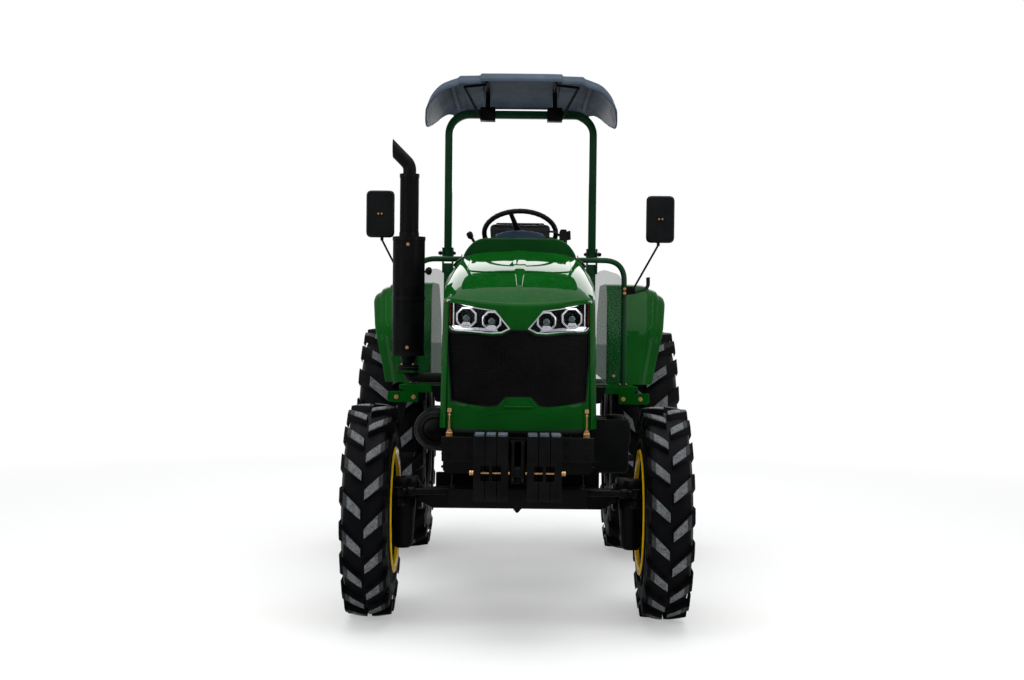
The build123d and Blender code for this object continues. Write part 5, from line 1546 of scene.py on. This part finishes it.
def makeSeat():
    # two padded cushions, piping along the lower one and the back's shell
    y0 = frontY + 1.55
    for name, (low, high, *more) in seatWork.items():
        low, high = [(p[0], frontY + p[1], p[2]) for p in (low, high)]
        pad = dress(simulated(puffed(name, low, high, *more), 0.006, 4.0), name, "vinyl", sharp=80)
        smooth = pad.modifiers.new("smooth", "SUBSURF")
        smooth.levels = smooth.render_levels = 1
        if name == "seat_pad":
            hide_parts("seat_cushions")
    flat = rounded([(-0.232, y0 + 0.004, 0.05), (0.232, y0 + 0.004, 0.05), (0.232, y0 + 0.426, 0.06),
            (-0.232, y0 + 0.426, 0.06)], 8)
    path = [(p.x * 0.985, p.y, 1.4475) for p in flat]
    Shape().tube(path + [path[0]], 0.005, 8).done("seat_piping", "vinyl")
    rows = []
    for z, half in ((1.47, 0.176), (1.6, 0.184), (1.8, 0.182), (1.93, 0.17), (1.972, 0.14)):
        rows.append([(x * half, frontY + 2.078 + 0.012 * (1 - x * x) ** 0.5 * 0.6, z)
                for x in [-1 + n / 8 for n in range(17)]])
    Shape().skin(rows, closed=False, caps=False).done("seat_back_shell", "seatShell", thick=0.004)


def makeRails():
    # a bent tube from the dash to the deck on each side, with its plates
    z, x, y = railHeight, 0.56, railY
    for side, tag in bothSides:
        rail = Shape()
        path = smoothPath([(side * 0.3073, y, z), (side * x, y, z), (side * x, y, 1.0465)], 0.11, False, 12)
        rail.tube(path, 0.0148, 20)
        rail.lathe([(0.0, 0.026), (0.005, 0.026)] if side > 0 else [(-0.005, 0.026), (0.0, 0.026)],
            (side * 0.3073, y, z), (1, 0, 0), 24)
        rail.slab(box4(side * x - 0.029, side * x + 0.029, y - 0.023, y + 0.023, 0.006), 1.0465, 1.0535, "z")
        piece = rail.done("handrail_" + tag, "rops")
        if side > 0:
            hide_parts("handrails")
    bolts("handrail_bolts", twoSided([(0.543, y - 0.014, 1.0535, "z", 0.009),
                (0.577, y + 0.014, 1.0535, "z", 0.009)]))


makeWeights()
makeExhaust()
makeMirrors()
makeSteeringWheel()
makeSeat()
makeRails()
print("weights, exhaust, mirrors, wheel, seat and rails")


# castings, frames, tank, roll bar and linkage
restWork = {
    # node: finish, bevel
    "front_axle_beam": ("black_cast", 0.004),
    "knuckle_left": ("black_cast", 0.003),
    "knuckle_right": ("black_cast", 0.003),
    "steering_rods": ("black_steel", 0.0015),
    "front_frame": ("black_cast", 0.0025),
    "engine": ("cast", 0.006),
    "radiator": ("black_steel", 0.004),
    "transmission": ("cast", 0.005),
    "rear_axle": ("cast", 0.003),
    "drawbar": ("black_steel", 0.003),
    "air_cleaner": ("black_plastic", 0.003),
    "fuel_tank": ("black_plastic", 0.003),
    "steering_column": ("black_steel", 0.002),
    "seat_frame": ("black_steel", 0.003),
    "clear_guards": ("clear", 0.0),
    "rops_posts": ("rops", 0.0025),
    "rops_hoop": ("rops", 0.0015),
    "canopy_brackets": ("black_steel", 0.0015),
    "lower_links": ("black_steel", 0.0025),
    "lift_arms": ("black_cast", 0.0025),
    "lift_rods": ("black_steel", 0.002),
    "top_link": ("black_steel", 0.002),
}


def bodyOf(node):
    return next(name for name, empty in frame["bodies"].items() if frame["nodes"][node].parent == empty)


def makeLatches():
    # a base block, a sprung rod up to its keeper and a bent handle, on both sides
    body = bodyOf("hood_latches")
    low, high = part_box("hood_latches")
    x, y = high.x - 0.015, low.y + 0.002
    base, rod = Shape(), Shape()
    plate = ((-0.014, 0), (0.014, 0), (0.014, 0.03), (0.006, 0.046), (-0.006, 0.046), (-0.014, 0.03))
    base.slab([(x + a, low.z + b, 0.003) for a, b in plate], y + 0.006, y + 0.014)
    base.slab([(x - 0.009, low.z + 0.004), (x + 0.009, low.z + 0.004), (x + 0.009, low.z + 0.026, 0.004),
            (x - 0.009, low.z + 0.026, 0.004)], y, y + 0.007)
    base.lathe([(-0.013, 0.005), (0.013, 0.005)], (x, y + 0.004, low.z + 0.026), (1, 0, 0), 14)
    rod.tube([(x, y + 0.008, low.z + 0.026), (x, y + 0.01, high.z - 0.004)], 0.0026, 10)
    turns = [math.pi * k / 5 for k in range(61)]
    coil = [(x + 0.0052 * math.cos(a), y + 0.01 + 0.0052 * math.sin(a), low.z + 0.05 + 0.034 * a / (12 * math.pi))
        for a in turns]
    rod.tube(coil, 0.0011, 6)
    rod.slab([(x - 0.01, high.z - 0.018, 0.002), (x + 0.01, high.z - 0.018, 0.002),
            (x + 0.008, high.z - 0.001, 0.003), (x - 0.008, high.z - 0.001, 0.003)], y + 0.008, y + 0.0125)
    rod.lathe([(-0.006, 0.004), (0.006, 0.004)], (x, y + 0.01, high.z - 0.03), (1, 0, 0), 12)
    base.both().done("latch_bases", "zinc", body, bevel=0.0006, stands=["hood_latches"])
    rod.both().done("latch_rods", "zinc", body, bevel=0.0006)


def makeRest():
    # the nodes that keep their own solid, with broken edges, and their bolts
    for node, (finish, bevel) in restWork.items():
        soften(node, finish, bodyOf(node), bevel, 2, 30)
    rows = [(x, frontY - 0.65, z, "-y", 0.011) for x in (0.215, 0.3) for z in (0.815, 0.875)]
    rows += [(0.405, frontY - 0.0905, z, "-y", 0.01) for z in (0.6, 0.64)]
    rows += [(0.345, frontY + y, z, "x", 0.011) for y in (-0.15, 0.08) for z in (0.72, 0.78)]
    for k in range(4):
        rows.append((0.185, frontY + 0.2 + k * 0.15, 0.9, "x", 0.012))
        rows.append((0.15, frontY + 0.19 + k * 0.155, 0.68, "x", 0.01))
    for k in range(5):
        rows.append((0.19, frontY + 0.725, 0.6 + k * 0.095, "x", 0.011))
        rows.append((0.17, rearY - 0.145 + k * 0.07, 0.985, "x", 0.011))
    bolts("casting_bolts", twoSided(rows), finish="black_steel")
    trumpet = [(0.192, rearY + 0.117 * math.cos(a), 0.67 + 0.117 * math.sin(a), "x", 0.01)
        for a in spokes(8, math.pi / 8)]
    bolts("axle_bolts", twoSided(trumpet), finish="black_steel")
    sheet = [(0.372, frontY + 1.017, z, "-y", 0.009) for z in (1.1, 1.42)] + [(0.51, frontY + 1.017, 1.1, "-y",
            0.009)]
    bolts("guard_bolts", twoSided(sheet))
    pins = [(0.482, rearY + 0.06, 1.792, "x", 0.02), (0.405, rearY + 0.06, 1.792, "-x", 0.016)]
    bolts("rops_pin_nuts", twoSided(pins), finish="black_steel")


def makeEngineDress():
    # ribs, sump, pulley, belt and side covers on the block
    e = Shape()
    y0, y1 = frontY + 0.15, frontY + 0.69
    for side in (-1, 1):
        for k in range(5):
            y = y0 + 0.05 + k * 0.1
            e.slab(flipped(side, ((0.184, 0.88), (0.197, 0.9, 0.006), (0.197, 1.15, 0.006), (0.184, 1.17))), y,
                y + 0.012)
        e.slab(box4(y0 + 0.06, y1 - 0.06, 0.7, 0.83, 0.02), side * 0.15, side * 0.158, "x")
        e.tube([(side * 0.176, y0 + 0.04, 1.2), (side * 0.176, y1 - 0.04, 1.2)], 0.022, 16)
    for k in range(4):
        e.lathe([(0.0, 0.02), (0.03, 0.02), (0.034, 0.014)], (0.0, y0 + 0.1 + k * 0.115, 1.385), (0, 0, 1), 20)
    e.lathe([(0.0, 0.052), (0.075, 0.052), (0.082, 0.046), (0.088, 0.0)], (0.186, y0 + 0.34, 0.79), (1, 0, 0), 28)
    e.done("engine_dress", "cast", bevel=0.002)
    front = Shape()
    for x, z, r in ((0.0, 0.76, 0.075), (0.0, 1.09, 0.06), (0.13, 1.0, 0.035)):
        front.lathe([(-0.004, r - 0.012), (-0.004, r), (-0.012, r - 0.006), (-0.02, r), (-0.02, r - 0.012),
                (-0.026, 0.02)], (x, y0, z), (0, 1, 0), 36)
    front.done("pulleys", "black_steel", sharp=30)
    loop = []
    for x, z, r, a0, a1 in ((0.0, 0.76, 0.07, -200, 10), (0.13, 1.0, 0.031, -20, 60), (0.0, 1.09, 0.055, 50, 180)):
        turns = [math.radians(a0 + (a1 - a0) * k / 12) for k in range(13)]
        loop += [(x + r * math.cos(a), y0 - 0.012, z + r * math.sin(a)) for a in turns]
    Shape().tube(loop + [loop[0]], 0.006, 8).done("fan_belt", "tyre")
    fan = Shape()
    fan.lathe([(-0.02, 0.0), (-0.02, 0.04), (-0.055, 0.036), (-0.06, 0.0)], (0, y0, 1.09), (0, 1, 0), 24)
    for a in spokes(7):
        out, side = Vector((math.cos(a), 0, math.sin(a))), Vector((-math.sin(a), 0, math.cos(a)))
        rows = []
        for r, half in ((0.036, 0.022), (0.12, 0.04), (0.185, 0.046)):
            centre = Vector((0, y0 - 0.042, 1.09)) + out * r
            blade = ((1, -0.012), (0, -0.003), (-1, 0.012), (-1, 0.015), (0, 0), (1, -0.009))
            rows.append([centre + side * (half * share) + Vector((0, push, 0)) for share, push in blade])
        fan.skin(rows)
    fan.done("cooling_fan", "black_plastic", sharp=40)


def makeCoreFins():
    # the radiator's fins, tanks and pipes
    low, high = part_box("radiator")
    fins, tanks = Shape(), Shape()
    for k in range(34):
        x = low.x + 0.03 + (high.x - low.x - 0.06) * k / 33
        fins.block(x - 0.0012, x + 0.0012, low.y - 0.004, low.y, low.z + 0.055, high.z - 0.055)
    for z0, z1 in ((low.z, low.z + 0.05), (high.z - 0.05, high.z)):
        tanks.slab(box4(low.x, high.x, z0, z1, 0.008), low.y - 0.01, high.y + 0.01)
    tanks.bent([(0.1, high.y + 0.002, high.z - 0.03), (0.1, high.y + 0.14, high.z - 0.03),
            (0.06, frontY + 0.165, 1.3)], 0.022, 0.25, 16)
    tanks.bent([(-0.12, high.y + 0.002, low.z + 0.03), (-0.12, high.y + 0.16, low.z + 0.03),
            (-0.12, frontY + 0.16, 0.98)], 0.022, 0.25, 16)
    fins.done("radiator_fins", "steel")
    tanks.done("radiator_tanks", "black_plastic", sharp=40)


def makeTankDress():
    # the tank's straps and ribbed cap, and the air cleaner's bands
    low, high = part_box("fuel_tank")
    top = 0.892
    straps, cap = Shape(), Shape()
    ring = [(0.376, 0.6215, 0.026), (0.57, 0.6215, 0.026), (0.57, 0.764), (0.5775, 0.77), (0.5775, 0.863, 0.014),
        (0.561, 0.8935, 0.018), (0.387, 0.8935, 0.018), (0.3685, 0.863, 0.014), (0.3685, 0.77), (0.376, 0.764)]
    flat = rounded(ring)
    for y in (low.y + 0.075, high.y - 0.075):
        loops = [[(p.x, a, p.y) for p in (grown(flat, r) if r else flat)] for a,
            r in ((y - 0.014, 0.0), (y - 0.014, 0.0022), (y + 0.014, 0.0022), (y + 0.014, 0.0))]
        straps.skin(loops + [loops[0]], caps=False)
    straps.done("tank_straps", "black_steel", sharp=40)
    cap.lathe([(0.0, 0.04), (0.004, 0.044), (0.022, 0.043), (0.024, 0.036), (0.024, 0.0)],
        (0.5, frontY + 0.7, top - 0.001), (0, 0, 1), 32)
    for a in (0, math.pi / 3, math.pi * 2 / 3):
        c, s = math.cos(a), math.sin(a)
        bar = ((0.034, 0.004), (-0.034, 0.004), (-0.034, -0.004), (0.034, -0.004))
        cap.slab([(0.5 + u * c - v * s, frontY + 0.7 + u * s + v * c) for u, v in bar], top + 0.02, top + 0.0225,
            "z")
    cap.done("tank_cap", "black_plastic", bevel=0.001)
    x, y, z = -0.425, frontY + 0.545, 0.836
    lid = Shape()
    for r in (0.03, 0.062, 0.1):
        lid.lathe([(0.03 - 0.25 * (0.1 - r), r - 0.003), (0.022 - 0.25 * (0.1 - r), r),
                (0.03 - 0.25 * (0.1 - r), r + 0.003)], (x, y, z), (0, 1, 0), 40, loop=True)
    lid.lathe([(0.07, 0.104), (0.07, 0.1085), (0.084, 0.1085), (0.084, 0.104)], (x, y, z), (0, 1, 0), 48, loop=True)
    lid.done("air_cleaner_bands", "black_steel", sharp=30)


def makeSkirts():
    # thin plates under the front support and the platform's front edge, and the pipes beside them
    plates, pipes = Shape(), Shape()
    y = frontY + 0.121
    for x0, x1, z1 in ((0.118, 0.392, 0.722), (-0.255, -0.118, 0.722), (-0.392, -0.25, 0.668)):
        plates.slab(box4(x0, x1, 0.59, z1, 0.01), y, y + 0.004)
    for side in (-1, 1):
        plates.slab(flipped(side, ((0.25, 0.93, 0.01), (0.44, 0.955, 0.01), (0.47, 1.04), (0.25, 1.04))),
            frontY + 0.978, frontY + 0.984)
        plates.slab(flipped(side, ((0.2, 0.78, 0.02), (0.362, 0.8, 0.03), (0.362, 1.02, 0.03), (0.2, 1.02, 0.02))),
            frontY + 0.56, frontY + 0.564)
        pipe = ((0.15, 0.3, 0.7), (0.3, 0.17, 0.69), (0.3, -0.02, 0.7), (0.3, -0.15, 0.622))
        pipes.bent([(side * a, frontY + b, c) for a, b, c in pipe], 0.008, 0.08)
    pipes.bent([(0.187, frontY + 0.42, 0.96), (0.33, frontY + 0.52, 0.93), (0.33, frontY + 0.7, 0.905)], 0.012, 0.1)
    plates.done("frame_skirts", "black_steel", bevel=0.0012)
    pipes.done("lower_pipes", "black_steel")


def makeKnobs():
    # the knob by the right-hand rail, the strap by the left-hand one and the seat's slide
    y = railY
    knob = Shape()
    knob.tube([(-0.552, y + 0.004, 1.64), (-0.5, y - 0.002, 1.65)], 0.006, 10)
    knob.lathe([(-0.02, 0.0), (-0.018, 0.012), (-0.004, 0.022), (0.01, 0.02), (0.016, 0.008), (0.017, 0.0)],
        (-0.486, y - 0.004, 1.652), (1, 0, -0.1), 24)
    knob.done("side_knob", "black_plastic")
    strap = Shape()
    path = smoothPath([(0.614, y - 0.002, 1.548), (0.69, y + 0.01, 1.572), (0.69, y + 0.03, 1.63)], [0, 0.04, 0],
        False, 6)
    strap.tube(path, 0.011, 12, 0.35)
    strap.done("grab_strap", "black_plastic")
    slide = Shape()
    for x in (-0.13, 0.13):
        slide.block(x - 0.018, x + 0.018, frontY + 1.64, frontY + 1.96, 1.4405, 1.4465)
    slide.tube([(0.19, frontY + 1.6, 1.43), (0.19, frontY + 1.56, 1.43)], 0.007, 10)
    slide.done("seat_slides", "black_steel", bevel=0.001)
    boot = Shape()
    boot.lathe([(0.0, 0.052), (0.012, 0.052), (0.016, 0.044), (0.026, 0.046), (0.03, 0.038), (0.04, 0.04),
            (0.046, 0.032), (0.06, 0.03)], (0, columnY, 1.64), (0, 0.82, 0.57), 28)
    boot.done("column_boot", "tyre", sharp=50)


makeRest()
makeLatches()
makeEngineDress()
makeCoreFins()
makeTankDress()
makeSkirts()
makeKnobs()
print("castings, roll bar, tank and linkage")


# wheel nuts, side vents, rear lamps, pedals and levers
extraWork = {
    "ventFront": -0.3,
    "ventRear": 0.3,
    "ventLow": 1.19,
    "ventHigh": 1.33,
    "slots": 9,
    "rearLampX": 0.7,
    # disc's place across, nut circle and radius at the rim's bead
    "front": (-0.007, 0.066, 0.295),
    "rear": (-0.074, 0.092, 0.381),
}


def makeWheelNuts():
    # nuts round the hub and the disc, and a valve in the rim
    for corner in ("left", "right"):
        side, way = (1, "x") if corner == "left" else (-1, "-x")
        for key in ("front", "rear"):
            disc, ring, bead = extraWork[key]
            node, body = "wheel_" + key + "_" + corner, key + "_wheel_" + corner
            centre = middle("tyre_" + key + "_" + corner)
            rows = []
            for angles, reach, proud, size in ((spokes(6), ring, 0.026, 0.011),
                (spokes(8, math.pi / 8), bead - 0.098, 0.0405, 0.012)):
                for a in angles:
                    rows.append((centre.x + side * (disc + proud), centre.y + reach * math.cos(a),
                            centre.z + reach * math.sin(a), way, size))
            bolts(node + "_nuts", rows, body)
            stem = [centre + Vector((side * x, 0.02, bead - 0.04 - z)) for x, z in ((0.03, 0.02), (0.074, 0.008))]
            Shape().tube(stem, 0.0042, 10).done(node + "_valve", "black_steel", body)


def makeVents():
    # slanted slots in a plate that lies on the hood's side; each slot is a near-black strip on the surface, painted
    # shade in place of an opening
    e = extraWork
    for side, tag in bothSides:
        def spot(along, z, proud):
            shoulder = hoodAt(along)[1]
            return (hoodWall(None, along, side, z, hoodTop(shoulder * 0.985, along) - 0.01) + side * proud,
                frontY + along, z)

        lips, slots = Shape(), Shape()
        for k in range(e["slots"]):
            share = k / (e["slots"] - 1)
            start = e["ventFront"] + (e["ventRear"] - e["ventFront"] - 0.09) * share
            low, high = e["ventLow"], e["ventHigh"] + 0.045 * share
            for shape, shift, wide, rise, proud in ((lips, 0.03, 0.005, 0.0046, 0.0016),
                (slots, 0.0, 0.03, 0.0008, 0.0008)):
                rows = []
                for t in (n / 8 for n in range(9)):
                    z, a = low + (high - low) * t, start + 0.055 * t + shift
                    rows.append([spot(a, z, -0.001), spot(a, z, rise), spot(a + wide, z, proud),
                            spot(a + wide, z, -0.001)])
                shape.skin(rows)
        # the slots' near-black strips are painted shade where each vent would open into the hood
        slots.done("side_vent_slot_shade_" + tag, "darkInside", "hood_body", sharp=40)
        lips.done("side_vent_lips_" + tag, "green", "hood_body", bevel=0.0008)


def makeRearLamps():
    # a housing with a red and an amber lens on each fender's back
    x0, y, z = extraWork["rearLampX"], rearY + 0.668, 1.19
    housing, red, amber = Shape(), Shape(), Shape()
    for side in (-1, 1):
        housing.slab(flipped(side, box4(x0 - 0.1, x0 + 0.06, z - 0.04, z + 0.04, 0.012)), y - 0.045, y)
        red.slab(flipped(side, box4(x0 - 0.092, x0 - 0.022, z - 0.033, z + 0.033, 0.008)), y, y + 0.008)
        amber.slab(flipped(side, box4(x0 - 0.018, x0 + 0.052, z - 0.033, z + 0.033, 0.008)), y, y + 0.008)
    housing.done("rear_lamp_housings", "black_plastic", bevel=0.002)
    red.done("rear_lamp_red", "redLens", bevel=0.002)
    amber.done("rear_lamp_amber", "amber", bevel=0.002)


def makeControls():
    # clutch and brake pedals, the gear levers and their knobs
    deck, y = deckTop, columnY
    pedals = Shape()
    for x in (-0.215, 0.15, 0.235):
        arm = smoothPath([(x, y, 1.33), (x, y + 0.09, 1.29), (x, y + 0.13, 1.15)], [0, 0.1, 0], False, 6)
        pedals.tube(arm, 0.008, 10)
        pedals.slab(box4(x - 0.034, x + 0.034, y + 0.1, y + 0.16, 0.006), 1.146, 1.154, "z")
        for k in range(4):
            pedals.block(x - 0.03, x + 0.03, y + 0.106 + 0.014 * k, y + 0.111 + 0.014 * k, 1.153, 1.157)
        pedals.lathe([(-0.012, 0.012), (0.012, 0.012)], (x, y + 0.004, 1.33), (1, 0, 0), 16)
    pedals.done("pedals", "black_steel", bevel=0.001)
    levers, knobs, gaiters = Shape(), Shape(), Shape()
    for x, along, top, lean in ((-0.05, 1.5, 1.5, 0.06), (-0.27, 1.68, 1.56, 0.05), (-0.3, 1.76, 1.56, 0.05),
        (0.27, 1.7, 1.54, 0.04)):
        place = frontY + along
        path = smoothPath([(x, place, deck - 0.004), (x, place, 1.25), (x, place - lean, top)], [0, 0.5, 0], False,
            6)
        levers.tube(path, 0.0065, 12)
        knobs.lathe([(-0.022, 0.0), (-0.021, 0.009), (-0.004, 0.017), (0.01, 0.02), (0.021, 0.013), (0.024, 0.0)],
            (x, place - lean, top + 0.012), (0, -0.15, 1), 24)
        gaiters.lathe([(-0.002, 0.034), (0.006, 0.034), (0.01, 0.026), (0.018, 0.029), (0.024, 0.02),
                (0.032, 0.023), (0.038, 0.013), (0.052, 0.01)], (x, place, deck), (0, 0, 1), 24)
    levers.done("lever_rods", "black_steel")
    knobs.done("lever_knobs", "black_plastic")
    gaiters.done("lever_gaiters", "tyre", sharp=50)


makeWheelNuts()
makeVents()
makeRearLamps()
makeControls()
print("nuts, vents, lamps and controls")


def makeStudio():
    # four lamps, and a world that lights dimly but looks white to the camera and in reflections
    target = (0, frontY + 0.6, 1.0)
    areaLamp("overhead", (0, frontY + 0.3, 5.6), target, (5.0, 5.0), studio["overhead"])
    for side, name in bothSides:
        areaLamp(name + "Side", (side * 5.2, frontY - 3.2, 3.0), target, (2.6, 3.4), studio[name])
    areaLamp("behind", (0, rearY + 4.6, 3.6), (0, rearY, 1.2), (5.0, 2.4), studio["behind"])
    world = bpy.data.worlds.new("studio")
    bpy.context.scene.world = world
    world.use_nodes = True
    tree = world.node_tree
    tree.nodes.clear()
    rays = addNode(tree, "ShaderNodeLightPath").outputs
    seen = rays["Is Camera Ray"]
    for kind in ("Is Glossy Ray", "Is Transmission Ray"):
        settings = {"operation": "ADD", "use_clamp": True}
        seen = addNode(tree, "ShaderNodeMath", settings, {0: seen, 1: rays[kind]}).outputs[0]
    dim = addNode(tree, "ShaderNodeBackground", None, {0: (0.93, 0.97, 1.0, 1), 1: studio["ambient"]})
    white = addNode(tree, "ShaderNodeBackground", None, {0: (1, 1, 1, 1)})
    blend = addNode(tree, "ShaderNodeMixShader", None, {0: seen, 1: dim.outputs[0], 2: white.outputs[0]})
    addNode(tree, "ShaderNodeOutputWorld", None, {0: blend.outputs[0]})


def makeFloor():
    # a wide floor that glows towards its edge, so that it has no horizon
    floorMesh = bpy.data.meshes.new("floor")
    corners = [(x, y, cadLow.z - 0.0005) for x, y in ((-60, -60), (60, -60), (60, 60), (-60, 60))]
    floorMesh.from_pydata(corners, [], [(0, 1, 2, 3)])
    floor = placed("floor", floorMesh)
    f = Finish("floor", Roughness=0.95, Specular_IOR_Level=0.0)
    speckle = f.span(f.noise(3, 4), 0.3, 0.7, 0.97, 1.0)
    base = studio["floorColour"]
    f.wire(Base_Color=f.mix(speckle, (*(c * 0.97 for c in base), 1), (*base, 1)))
    glow = f.add("ShaderNodeEmission", None, {"Color": (1, 1, 1, 1), "Strength": 1.0})
    far = f.add("ShaderNodeVectorMath", {"operation": "LENGTH"}, {0: f.place()}, out=1)
    seen = f.add("ShaderNodeLightPath") * f.span(far, studio["fadeStart"], studio["fadeEnd"], studio["floorGlow"],
        1.0)
    both = f.add("ShaderNodeMixShader", None, {0: seen, 1: Signal(f, f.shader.outputs[0]), 2: glow})
    f.tree.links.new(both.socket, f.output.inputs[0])
    floorMesh.materials.append(f.material)


makeStudio()
makeFloor()
print("lights, world and floor")
bpy.context.scene.view_settings.view_transform = "Standard"
